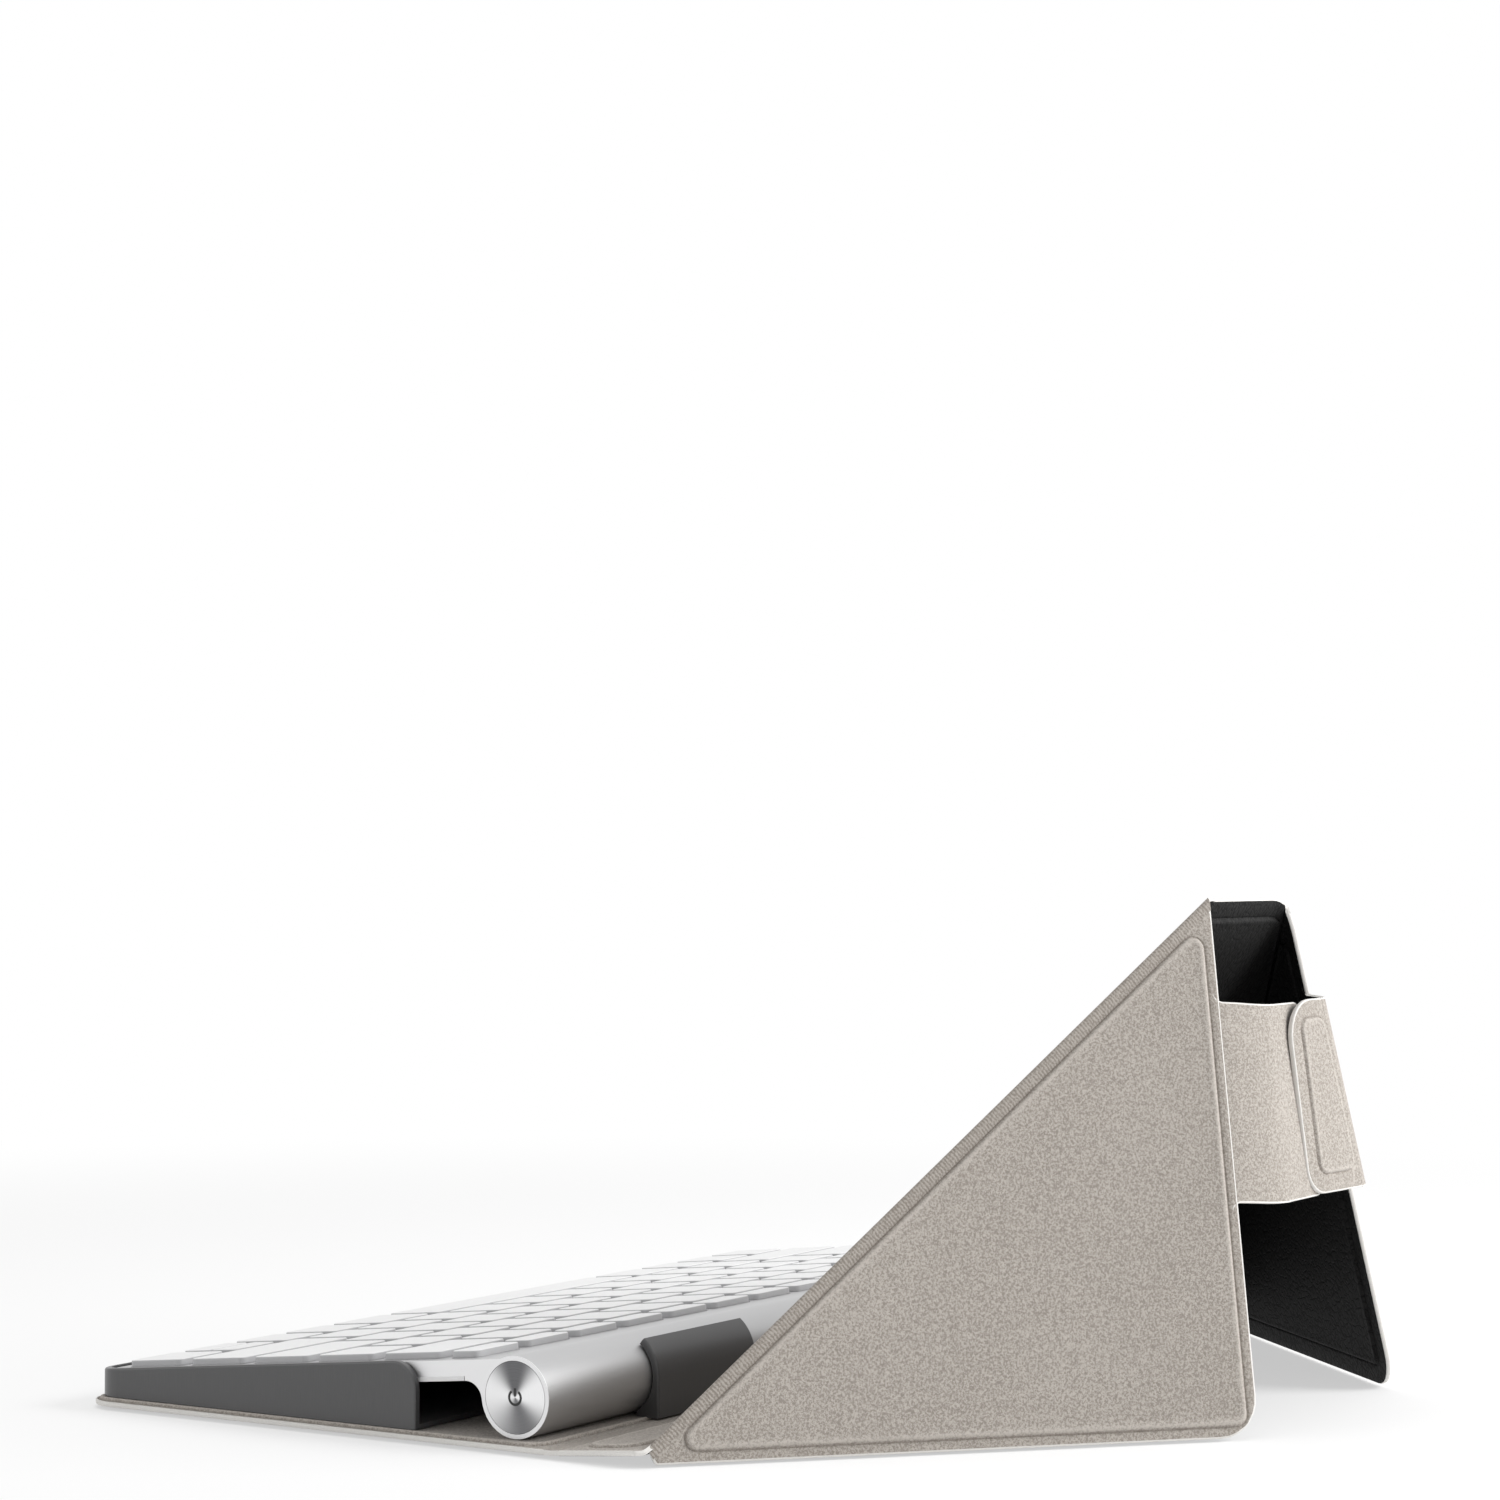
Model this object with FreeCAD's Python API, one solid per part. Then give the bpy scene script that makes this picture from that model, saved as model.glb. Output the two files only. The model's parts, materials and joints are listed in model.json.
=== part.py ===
import FreeCAD, Part
import math
import os

# A folding keyboard case, open as a tablet stand, with a slim keyboard in its tray.
# Millimetres and degrees. X runs to the user's right, Y away from the user, Z up.
# The origin is the middle of the base panel's underside.

# Sheet: a leather-look skin outside and a felt lining inside, over stiff boards
skin = 0.7
board = 1.0
lining = 0.5
board_corner = 5.0
board_edge_margin = 5.0
board_fold_margin = 3.2
base_board_margin = 1.8
skin_step = 0.6
sheet_corner = 9.0
small_corner = 0.8

# Fold lines: the skin and the lining pressed together, with a round crease on the axis
fold_gap = 1.5
fold_skin = 0.5
fold_lining = 0.4
crease_radius = 1.15
crease_end_gap = 1.0

# Stand panel and wings
short_edge = 46.0
wing_fold_inset = 3.0
wing_notch = 12.0
wing_fold_angle = 118.0
wing_crease_low_gap = 6.0
wing_crease_high_gap = 3.0
spine_tilt = 5.0
floor_gap = 0.4
cover_overhang = 3.0

# Closing tabs: the right one lies inside at rest, the left one outside
tab_width = 46.0
tab_centre = 70.0
flap_length = 24.0
flap_corner = 6.0
right_neck_bend = 21.0
left_neck_bend = 3.0
tab_magnet = 0.8
tab_magnet_margin = 4.5
tab_magnet_corner = 3.0
tab_closed_gap = 0.4
base_plate_length = 14.0
base_plate_width = 30.0
base_plate_setback = 6.0

# Keys
key_unit = 19.0
key_gap = 3.0
key_corner = 1.6
key_edge = 0.35
key_height = 1.6
key_sunk = 0.6
key_travel = 1.3
key_clearance = 0.35
half_key_gap = 1.0
function_row_units = 0.55

# Keyboard deck and its rear tube
deck_margin = 4.25
deck_land = 12.5
deck_plate = 1.0
deck_skirt = 1.2
deck_corner = 6.0
keyboard_thickness = 4.5
bottom_plate = 1.0
membrane = 0.3
inside_clearance = 0.2
tube_diameter = 18.0
tube_wall = 1.0
tube_step = 0.6
tube_fillet = 4.2
seat_gap = 0.2
keyboard_lift_angle = 12.0

# Pieces in the tube
cap_clearance = 0.1
cap_length = 6.0
cap_slot_width = 1.6
cap_slot_depth = 1.2
cap_slot_length = 10.0
button_length = 3.0
button_travel = 1.0
cell_length = 50.5
cell_diameter = 14.2
cell_clearance = 0.15
contact_thickness = 1.0
circuit_thickness = 1.0
circuit_drop = 3.0
circuit_end_gap = 2.0
light_radius = 0.6
light_clearance = 0.1
light_inset = 12.0
light_depth = 1.0

# Tray and rear clips
tray_tape = 0.3
tray_floor = 1.0
tray_wall = 1.6
tray_side_clearance = 0.6
tray_front_clearance = 0.5
tray_side_lip = 2.3
tray_front_lip = 1.2
tray_wall_rise = 0.5
tray_wall_length = 96.0
tray_wall_corner = 6.0
tray_edge = 0.5
clip_gap = 0.3
clip_wall = 1.6
clip_reach_angle = 52.0
clip_heel = 6.0
clip_inner_end = 58.0
clip_outer_end = 100.0
clip_rear_margin = 1.8
clip_edge = 0.6

# How the closed cover lies over the keys
closed_clearance = 0.6

# Key rows from the front to the rear: name, depth in key units, key widths in key units
space_units = 5.0
front_left_units = [1.0, 1.0, 1.0, 1.25]
front_right_units = [1.25, 1.0, 1.0]
key_rows = [
    ("lower_letter_keys", 1.0, [2.25] + [1.0] * 10 + [2.25]),
    ("home_row_keys", 1.0, [1.75] + [1.0] * 11 + [1.75]),
    ("upper_letter_keys", 1.0, [1.5] + [1.0] * 13),
    ("number_keys", 1.0, [1.0] * 13 + [1.5]),
    ("function_keys", function_row_units, None),
]
row_units = 14.5
function_key_count = 14

V = FreeCAD.Vector
right = V(1, 0, 0)
up = V(0, 0, 1)

# Sheet heights, counted from its middle plane, where skin and lining meet
sheet_middle = skin + board / 2
raised_lining = lining + board / 2
lining_top = sheet_middle + raised_lining
board_inset = fold_gap + board_fold_margin

# Keyboard outline, from the key field
field_width = row_units * key_unit - key_gap
full_rows = 5
field_depth = (full_rows + function_row_units) * key_unit - key_gap
keyboard_width = field_width + 2 * deck_margin
tube_radius = tube_diameter / 2
bore_radius = tube_radius - tube_wall
tube_run = deck_margin + field_depth + deck_land
tube_drop = tube_radius - tube_step

# The deck's underside runs into the tube with a hollow fillet
fillet_drop = keyboard_thickness + tube_fillet
fillet_rise = fillet_drop - tube_drop
fillet_back = math.sqrt((tube_radius + tube_fillet) ** 2 - fillet_rise ** 2)
web_start = tube_run - fillet_back
web_low = -tube_drop - tube_radius * fillet_rise / (tube_radius + tube_fillet)

# The deck slopes so that its front edge lies on the tray's floor and its tube on the lining
tray_height = tray_tape + tray_floor
lean = math.atan2(keyboard_thickness - tube_drop, tube_run)
reach = math.hypot(keyboard_thickness - tube_drop, tube_run)
slope = math.asin((tube_radius - tray_height) / reach) - lean
deck_slope = math.degrees(slope)
tube_forward = tube_run * math.cos(slope) + tube_drop * math.sin(slope)

# Base panel and overall width, from the keyboard and the tray round it
front_to_deck = tray_front_lip + tray_wall + tray_front_clearance
clip_depth = clip_gap + clip_wall
base_depth = front_to_deck + tube_forward + tube_radius + clip_depth + clip_rear_margin
case_width = keyboard_width + 2 * (tray_side_clearance + tray_wall + tray_side_lip)
half_width = case_width / 2
base_front = -base_depth / 2
base_rear = base_depth / 2
deck_front = base_front + front_to_deck
deck_front_height = lining_top + tray_height + seat_gap + keyboard_thickness * math.cos(slope)
tube_y = deck_front + tube_forward
tube_z = lining_top + seat_gap + tube_radius

# Closed cover: parallel to the deck, just above the keys
cover_above_deck = key_height + closed_clearance + raised_lining
closed_hinge_height = (deck_front_height + (base_rear - deck_front) * math.tan(slope)
                       + cover_above_deck / math.cos(slope))
spine_length = closed_hinge_height - sheet_middle
cover_depth = (base_depth + cover_overhang) / math.cos(slope)
tab_axis = cover_depth + fold_gap
closed_tab_height = closed_hinge_height - tab_axis * math.sin(slope)
flap_raise = lining + tab_magnet / 2
neck_length = closed_tab_height + tab_closed_gap + flap_raise
flap_axis = tab_axis + neck_length


def turned(point, axis, angle):
    return FreeCAD.Placement(V(0, 0, 0), FreeCAD.Rotation(axis, angle), point)


def placed(shape, placement):
    moved = shape.copy()
    moved.Placement = placement.multiply(moved.Placement)
    return moved


def mirrored(shape):
    return shape.mirror(V(0, 0, 0), right)


# Where each panel lies at rest. Every panel is drawn flat in its own sheet frame.
base_place = FreeCAD.Placement(V(0, 0, sheet_middle), FreeCAD.Rotation())
spine_axis = V(0, base_rear, 0)
spine_place = base_place.multiply(turned(spine_axis, right, spine_tilt))
cover_origin = spine_place.multVec(V(0, base_rear + spine_length, 0))
wing_low = V(half_width - wing_fold_inset, 0, 0)
wing_high = V(short_edge / 2, cover_depth, 0)
wing_line = (wing_high - wing_low).normalize()
wing_tip = V(half_width, cover_depth, 0)


def cover_at(angle):
    return FreeCAD.Placement(cover_origin, FreeCAD.Rotation(right, angle))


def right_wing_on(cover):
    return cover.multiply(turned(wing_low, wing_line, wing_fold_angle))


# The stand panel leans so that the outer corner of each folded wing reaches the floor
def stand_angle_for_floor():
    low, high = 10.0, 90.0
    for _ in range(60):
        angle = (low + high) / 2
        if right_wing_on(cover_at(angle)).multVec(wing_tip).z < floor_gap:
            low = angle
        else:
            high = angle
    return angle


stand_angle = stand_angle_for_floor()
cover_place = cover_at(stand_angle)
right_wing_place = right_wing_on(cover_place)
left_line = V(-wing_line.x, wing_line.y, 0)
left_low = V(-wing_low.x, wing_low.y, 0)
left_wing_place = cover_place.multiply(turned(left_low, left_line, -wing_fold_angle))

# Each flap turns until it runs across the stand, behind it
tab_run = right_wing_place.Rotation.multVec(V(0, 1, 0))
wing_outside = right_wing_place.Rotation.multVec(up)
tab_turn = math.degrees(math.atan2(tab_run.y, wing_outside.y))
tab_line = V(0, tab_axis, 0)
flap_line = V(0, flap_axis, 0)


def neck_on(wing, bend):
    return wing.multiply(turned(tab_line, right, -bend))


def flap_on(neck, bend):
    return neck.multiply(turned(flap_line, right, bend - tab_turn))


right_neck_place = neck_on(right_wing_place, right_neck_bend)
left_neck_place = neck_on(left_wing_place, left_neck_bend)
right_flap_place = flap_on(right_neck_place, right_neck_bend)
left_flap_place = flap_on(left_neck_place, left_neck_bend)

# The flap's long edges are level at rest and its end stands square to them
flap_edge = right_flap_place.Rotation.multVec(right)
flap_run = right_flap_place.Rotation.multVec(V(0, 1, 0))
flap_lean = -flap_run.z / flap_edge.z

deck_place = FreeCAD.Placement(V(0, deck_front, deck_front_height), FreeCAD.Rotation(right, deck_slope))

# Limits of the folds, from the open stand at rest to the closed case
spine_closed = 90.0 - spine_tilt
cover_flat = -(stand_angle - spine_tilt)
cover_closed = 90.0 + deck_slope + cover_flat
neck_closed = 90.0 - deck_slope
flap_closed = 90.0


# A closed outline through corners, each rounded by its own radius
def rounded_wire(corners, radii):
    count = len(corners)
    rounds = []
    for i in range(count):
        corner = corners[i]
        back = (corners[i - 1] - corner).normalize()
        ahead = (corners[(i + 1) % count] - corner).normalize()
        half = back.getAngle(ahead) / 2
        bisector = (back + ahead).normalize()
        reach_back = radii[i] / math.tan(half)
        middle = corner + bisector * (radii[i] / math.sin(half) - radii[i])
        rounds.append((corner + back * reach_back, middle, corner + ahead * reach_back))
    edges = []
    for i in range(count):
        start, middle, end = rounds[i]
        if radii[i] > 0:
            edges.append(Part.Arc(start, middle, end).toShape())
        following = rounds[(i + 1) % count][0]
        if end.distanceToPoint(following) > 1e-6:
            edges.append(Part.LineSegment(end, following).toShape())
    return Part.Wire(edges)


def slab(corners, radii, low, high):
    face = Part.Face(rounded_wire(corners, radii))
    face.translate(V(0, 0, low))
    return face.extrude(V(0, 0, high - low))


# Move each edge of a counter-clockwise outline inwards by its own distance
def inset(corners, distances):
    count = len(corners)
    moved = []
    for i in range(count):
        lines = []
        for edge in (i - 1, i):
            start = corners[edge]
            run = (corners[(edge + 1) % count] - start).normalize()
            lines.append((start + V(-run.y, run.x, 0) * distances[edge], run))
        (first, first_run), (second, second_run) = lines
        between = second - first
        cross = first_run.x * second_run.y - first_run.y * second_run.x
        along = (between.x * second_run.y - between.y * second_run.x) / cross
        moved.append(first + first_run * along)
    return moved


def rectangle(left_x, right_x, low_y, high_y):
    return [V(left_x, low_y, 0), V(right_x, low_y, 0), V(right_x, high_y, 0), V(left_x, high_y, 0)]


def box(left_x, right_x, low_y, high_y, low_z, high_z):
    return Part.makeBox(right_x - left_x, high_y - low_y, high_z - low_z, V(left_x, low_y, low_z))


# Skin and lining bulge by half the filler's thickness where they pass over it
def covered_panel(outline, radii, core, core_radius, filler):
    half = filler / 2
    count = len(core)
    cover = inset(core, [-skin_step] * count)
    cover_radii = [core_radius + skin_step] * count
    middle = slab(core, [core_radius] * count, -half, half)
    outside = slab(outline, radii, -skin, 0).fuse(slab(cover, cover_radii, -skin - half, -skin))
    inside = slab(outline, radii, 0, lining).fuse(slab(cover, cover_radii, lining, lining + half))
    return outside.cut(middle), middle, inside.cut(middle)


# A strip from the parent panel's edge to the fold's axis, with the crease along the axis
def fold_strip(start, end, parent_side, start_gap, end_gap):
    run = (end - start).normalize()
    first = start + run * start_gap
    last = end - run * end_gap
    corners = [first, last, last + parent_side * fold_gap, first + parent_side * fold_gap]
    strip = slab(corners, [0] * 4, -fold_skin, fold_lining)
    crease = Part.makeCylinder(crease_radius, first.distanceToPoint(last), first, run)
    return strip.fuse(crease).removeSplitter()


def base_sheet():
    outline = rectangle(-half_width, half_width, base_front, base_rear - fold_gap)
    radii = [sheet_corner, sheet_corner, small_corner, small_corner]
    core = rectangle(-half_width + base_board_margin, half_width - base_board_margin,
                     base_front + base_board_margin, base_rear - board_inset)
    outside, middle, inside = covered_panel(outline, radii, core, board_corner, board)
    plates = []
    for side in (-1, 1):
        centre = side * tab_centre
        corners = rectangle(centre - base_plate_width / 2, centre + base_plate_width / 2,
                            base_front + base_plate_setback,
                            base_front + base_plate_setback + base_plate_length)
        plates.append(slab(corners, [small_corner] * 4, -board / 2, board / 2))
    plates = Part.makeCompound(plates)
    return outside, middle.cut(plates), inside, plates


def spine_sheet():
    low = base_rear + fold_gap
    high = base_rear + spine_length - fold_gap
    outline = rectangle(-half_width, half_width, low, high)
    core = inset(outline, [board_fold_margin, board_edge_margin] * 2)
    return covered_panel(outline, [small_corner] * 4, core, board_corner, board)


def stand_sheet():
    trapezoid = [V(-wing_low.x, 0, 0), wing_low, wing_high, V(-wing_high.x, cover_depth, 0)]
    outline = inset(trapezoid, [fold_gap, fold_gap, 0, fold_gap])
    core = inset(trapezoid, [board_inset, board_inset, board_edge_margin, board_inset])
    return covered_panel(outline, [small_corner] * 4, core, board_corner, board)


# A slim notch frees the wing from the spine beside the low end of its fold
def wing_sheet():
    corner = V(half_width, wing_notch, 0)
    quadrangle = [corner, wing_tip, wing_high, wing_low]
    outline = inset(quadrangle, [0, 0, fold_gap, 0])
    radii = [small_corner, sheet_corner, small_corner, 0]
    foot = wing_low - wing_line * (wing_fold_inset / -wing_line.x)
    core = inset([foot, wing_tip, wing_high], [board_edge_margin, board_edge_margin, board_inset])
    return covered_panel(outline, radii, core, board_corner, board)


def neck_sheet():
    corners = rectangle(tab_centre - tab_width / 2, tab_centre + tab_width / 2,
                        tab_axis + fold_gap, flap_axis - fold_gap)
    return slab(corners, [0] * 4, -skin, 0), slab(corners, [0] * 4, 0, lining)


def flap_sheet():
    left_x = tab_centre - tab_width / 2
    right_x = tab_centre + tab_width / 2
    end_skew = flap_lean * tab_width / 2
    runs = [(left_x, fold_gap), (right_x, fold_gap),
            (right_x, flap_length - end_skew), (left_x, flap_length + end_skew)]
    outline = [V(x + flap_lean * run, flap_axis + run, 0) for x, run in runs]
    core = inset(outline, [tab_magnet_margin] * 4)
    radii = [0, 0, flap_corner, flap_corner]
    return covered_panel(outline, radii, core, tab_magnet_corner, tab_magnet)


# Stands a profile drawn in Y and Z across the part, along X
across = FreeCAD.Placement(V(0, 0, 0), FreeCAD.Rotation(V(0, 1, 0), V(0, 0, 1), V(1, 0, 0)))


# Moulded tray: a floor with front and side walls whose top follows the deck's edge
def tray_shell():
    low = lining_top + tray_tape
    front = base_front + tray_front_lip
    rear = front + tray_wall_length
    side = half_width - tray_side_lip
    outer_round = deck_corner + tray_front_clearance + tray_wall
    inner_round = deck_corner + tray_front_clearance
    top_slope = math.tan(slope)
    front_top = deck_front_height + tray_wall_rise + (front - deck_front) * top_slope
    rear_top = front_top + (rear - front) * top_slope
    outside = slab(rectangle(-side, side, front, rear), [outer_round, outer_round, 0, 0], low, rear_top)
    hollow = slab(rectangle(-side + tray_wall, side - tray_wall, front + tray_wall, rear + tray_wall),
                  [inner_round, inner_round, 0, 0], low + tray_floor, rear_top)
    profile = [V(front, low, 0), V(rear, low, 0), V(rear, rear_top, 0), V(front, front_top, 0)]
    kept = slab(profile, [0, 0, tray_wall_corner, 0], -side, side)
    shell = outside.cut(hollow).common(placed(kept, across)).removeSplitter()
    rim = [edge for edge in shell.Edges if edge.BoundBox.ZMax > low + tray_floor
           and on_tray_rim(edge, side, front, outer_round)]
    return shell.makeFillet(tray_edge, rim)


# The outer edges of the walls' top and rear ends, without the upright lines at the front corners
def on_tray_rim(edge, side, front, corner):
    span = edge.BoundBox
    upright = span.XLength < 0.01 and span.YLength < 0.01
    if upright and span.YMax < front + corner + 0.01:
        return False
    for parameter in (0.0, 0.5, 1.0):
        first, last = edge.ParameterRange
        point = edge.valueAt(first + (last - first) * parameter)
        x, y = abs(point.x), point.y
        centre_x, centre_y = side - corner, front + corner
        if x > centre_x and y < centre_y:
            outermost = math.hypot(x - centre_x, y - centre_y) > corner - 0.01
        else:
            outermost = x > side - 0.01 or y < front + 0.01
        if not outermost:
            return False
    return True


def tray_adhesive():
    front = base_front + tray_front_lip + tray_wall
    rear = base_front + tray_front_lip + tray_wall_length - tray_wall
    side = half_width - tray_side_lip - tray_wall
    return slab(rectangle(-side, side, front, rear), [deck_corner, deck_corner, 0, 0],
                lining_top, lining_top + tray_tape)


# Each clip stands on the lining behind the tube and hooks over it
def tube_clips():
    inner = tube_radius + clip_gap
    outer = inner + clip_wall
    length = clip_outer_end - clip_inner_end
    centre = V(clip_inner_end, tube_y, tube_z)
    hook = Part.makeCylinder(outer, length, centre, right, 360)
    reach_line = math.radians(clip_reach_angle)
    far = 2 * outer
    wedge = [V(0, 0, 0), V(far, 0, 0), V(far, far, 0),
             V(far * math.cos(reach_line), far * math.sin(reach_line), 0)]
    sector = slab(wedge, [0] * 4, 0, length)
    sector = placed(sector, FreeCAD.Placement(centre, across.Rotation))
    heel = box(clip_inner_end, clip_outer_end, tube_y + outer - clip_heel, tube_y + outer,
               lining_top, tube_z)
    room = Part.makeCylinder(inner, length, centre, right, 360)
    clip = hook.common(sector).fuse(heel).cut(room).removeSplitter()
    rim = [edge for edge in clip.Edges if on_clip_rim(edge, outer)]
    clip = clip.makeFillet(clip_edge, rim)
    return Part.makeCompound([clip, mirrored(clip)])


# The outer edges of a clip's two ends, above the lining
def on_clip_rim(edge, outer):
    first, last = edge.ParameterRange
    point = edge.valueAt((first + last) / 2)
    at_end = edge.BoundBox.XLength < 0.01
    if point.z > tube_z:
        outermost = math.hypot(point.y - tube_y, point.z - tube_z) > outer - 0.01
    else:
        outermost = point.y > tube_y + outer - 0.01
    return at_end and outermost


# One key row: a list of key rectangles in the deck's plane
def row_rectangles(units, start_x, front, depth):
    keys = []
    left_x = start_x
    for width in units:
        right_x = left_x + width * key_unit - key_gap
        keys.append((left_x, right_x, front, front + depth))
        left_x = right_x + key_gap
    return keys


def key_layout():
    layout = {}
    start_x = -field_width / 2
    front = deck_margin
    depth = key_unit - key_gap
    left_keys = row_rectangles(front_left_units, start_x, front, depth)
    space_start = left_keys[-1][1] + key_gap
    layout["space_bar"] = row_rectangles([space_units], space_start, front, depth)
    right_start = layout["space_bar"][0][1] + key_gap
    right_keys = row_rectangles(front_right_units + [1.0, 1.0], right_start, front, depth)
    up_down, last = right_keys.pop(-2), right_keys.pop(-1)
    half_depth = (depth - half_key_gap) / 2
    halves = [(up_down[0], up_down[1], front, front + half_depth),
              (up_down[0], up_down[1], front + depth - half_depth, front + depth)]
    layout["bottom_row_keys"] = left_keys + right_keys + halves + [last]
    front += key_unit
    for name, row_depth, units in key_rows:
        if units is None:
            units = [row_units / function_key_count] * function_key_count
        layout[name] = row_rectangles(units, start_x, front, row_depth * key_unit - key_gap)
        front += row_depth * key_unit
    return layout


def key_cap(key):
    cap = slab(rectangle(*key), [key_corner] * 4, -key_sunk, key_height)
    rim = [edge for edge in cap.Edges if edge.BoundBox.ZMin > key_height - key_edge]
    return cap.makeFillet(key_edge, rim)


def key_well(key):
    corners = inset(rectangle(*key), [-key_clearance] * 4)
    low = -key_sunk - key_travel - inside_clearance
    return slab(corners, [key_corner + key_clearance] * 4, low, deck_plate)


def tube_cylinder(radius, start_x, end_x, lowered=0.0):
    centre = V(start_x, tube_run, -tube_drop - lowered)
    return Part.makeCylinder(radius, end_x - start_x, centre, right, 360)


deck_half = keyboard_width / 2
light_x = deck_half - light_inset
light_run = tube_run - tube_radius


def keyboard_deck(layout):
    plate_end = tube_run - math.sqrt(max(bore_radius ** 2 - (tube_drop - deck_plate) ** 2, 0))
    outline = rectangle(-deck_half, deck_half, 0, plate_end)
    radii = [deck_corner, deck_corner, 0, 0]
    skirt_low = -keyboard_thickness + bottom_plate
    plate = slab(outline, radii, -deck_plate, 0)
    skirt = slab(outline, radii, skirt_low, -deck_plate)
    hollow = slab(rectangle(-deck_half + deck_skirt, deck_half - deck_skirt,
                            deck_skirt, plate_end + deck_skirt),
                  [deck_corner - deck_skirt, deck_corner - deck_skirt, 0, 0], skirt_low, -deck_plate)
    tube = tube_cylinder(tube_radius, -deck_half, deck_half)
    bore = tube_cylinder(bore_radius, -deck_half, deck_half)
    web = box(-deck_half, deck_half, web_start, tube_run, web_low, -deck_plate)
    under = Part.makeCylinder(tube_fillet, keyboard_width, V(-deck_half, web_start, -fillet_drop), right)
    wells = [key_well(key) for keys in layout.values() for key in keys]
    light_hole = Part.makeCylinder(light_radius + light_clearance, light_depth + light_clearance,
                                   V(light_x, light_run, -light_depth - light_clearance), up)
    shell = plate.fuse([skirt.cut(hollow), tube, web.cut(under)])
    return shell.cut([bore, light_hole] + wells).removeSplitter()


def inner_sheet(low, high):
    side = deck_half - deck_skirt - inside_clearance
    front = deck_skirt + inside_clearance
    rear = web_start - inside_clearance
    corner = deck_corner - deck_skirt
    return slab(rectangle(-side, side, front, rear), [corner, corner, 0, 0], low, high)


def keyboard_pieces():
    layout = key_layout()
    inside_low = -keyboard_thickness + bottom_plate
    membrane_top = -key_sunk - key_travel - inside_clearance
    bottom = slab(rectangle(-deck_half, deck_half, 0, web_start - inside_clearance),
                  [deck_corner, deck_corner, 0, 0], -keyboard_thickness, inside_low)
    cell_start = -deck_half + cap_length + contact_thickness
    cell_radius = cell_diameter / 2
    cell_drop = bore_radius - cell_clearance - cell_radius
    contact_radius = bore_radius - cell_clearance
    cell_end = cell_start + 2 * cell_length
    cells = [tube_cylinder(cell_radius, cell_start + i * cell_length, cell_start + (i + 1) * cell_length,
                           cell_drop) for i in range(2)]
    contacts = [tube_cylinder(contact_radius, x, x + contact_thickness)
                for x in (cell_start - contact_thickness, cell_end)]
    cap_radius = bore_radius - cap_clearance
    slot = box(-deck_half, -deck_half + cap_slot_depth,
               tube_run - cap_slot_length / 2, tube_run + cap_slot_length / 2,
               -tube_drop - cap_slot_width / 2, -tube_drop + cap_slot_width / 2)
    cap = tube_cylinder(cap_radius, -deck_half, -deck_half + cap_length).cut(slot)
    button = tube_cylinder(cap_radius, deck_half - button_length, deck_half)
    circuit_low = -tube_drop - circuit_drop - circuit_thickness / 2
    circuit_half = math.sqrt(contact_radius ** 2 - (circuit_drop + circuit_thickness / 2) ** 2)
    circuit = box(cell_end + contact_thickness, deck_half - button_length - button_travel - circuit_end_gap,
                  tube_run - circuit_half, tube_run + circuit_half,
                  circuit_low, circuit_low + circuit_thickness)
    light = Part.makeCylinder(light_radius, light_depth, V(light_x, light_run, -light_depth), up)
    pieces = {
        "keyboard_deck": keyboard_deck(layout),
        "keyboard_bottom": bottom,
        "key_membrane": inner_sheet(membrane_top - membrane, membrane_top),
        "key_support_plate": inner_sheet(inside_low, membrane_top - membrane),
        "battery_cells": Part.makeCompound(cells),
        "battery_contacts": Part.makeCompound(contacts),
        "battery_cap": cap,
        "power_button": button,
        "keyboard_circuit": circuit,
        "status_light": light,
    }
    for name, keys in layout.items():
        pieces[name] = Part.makeCompound([key_cap(key) for key in keys])
    return {name: placed(shape, deck_place) for name, shape in pieces.items()}


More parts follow.
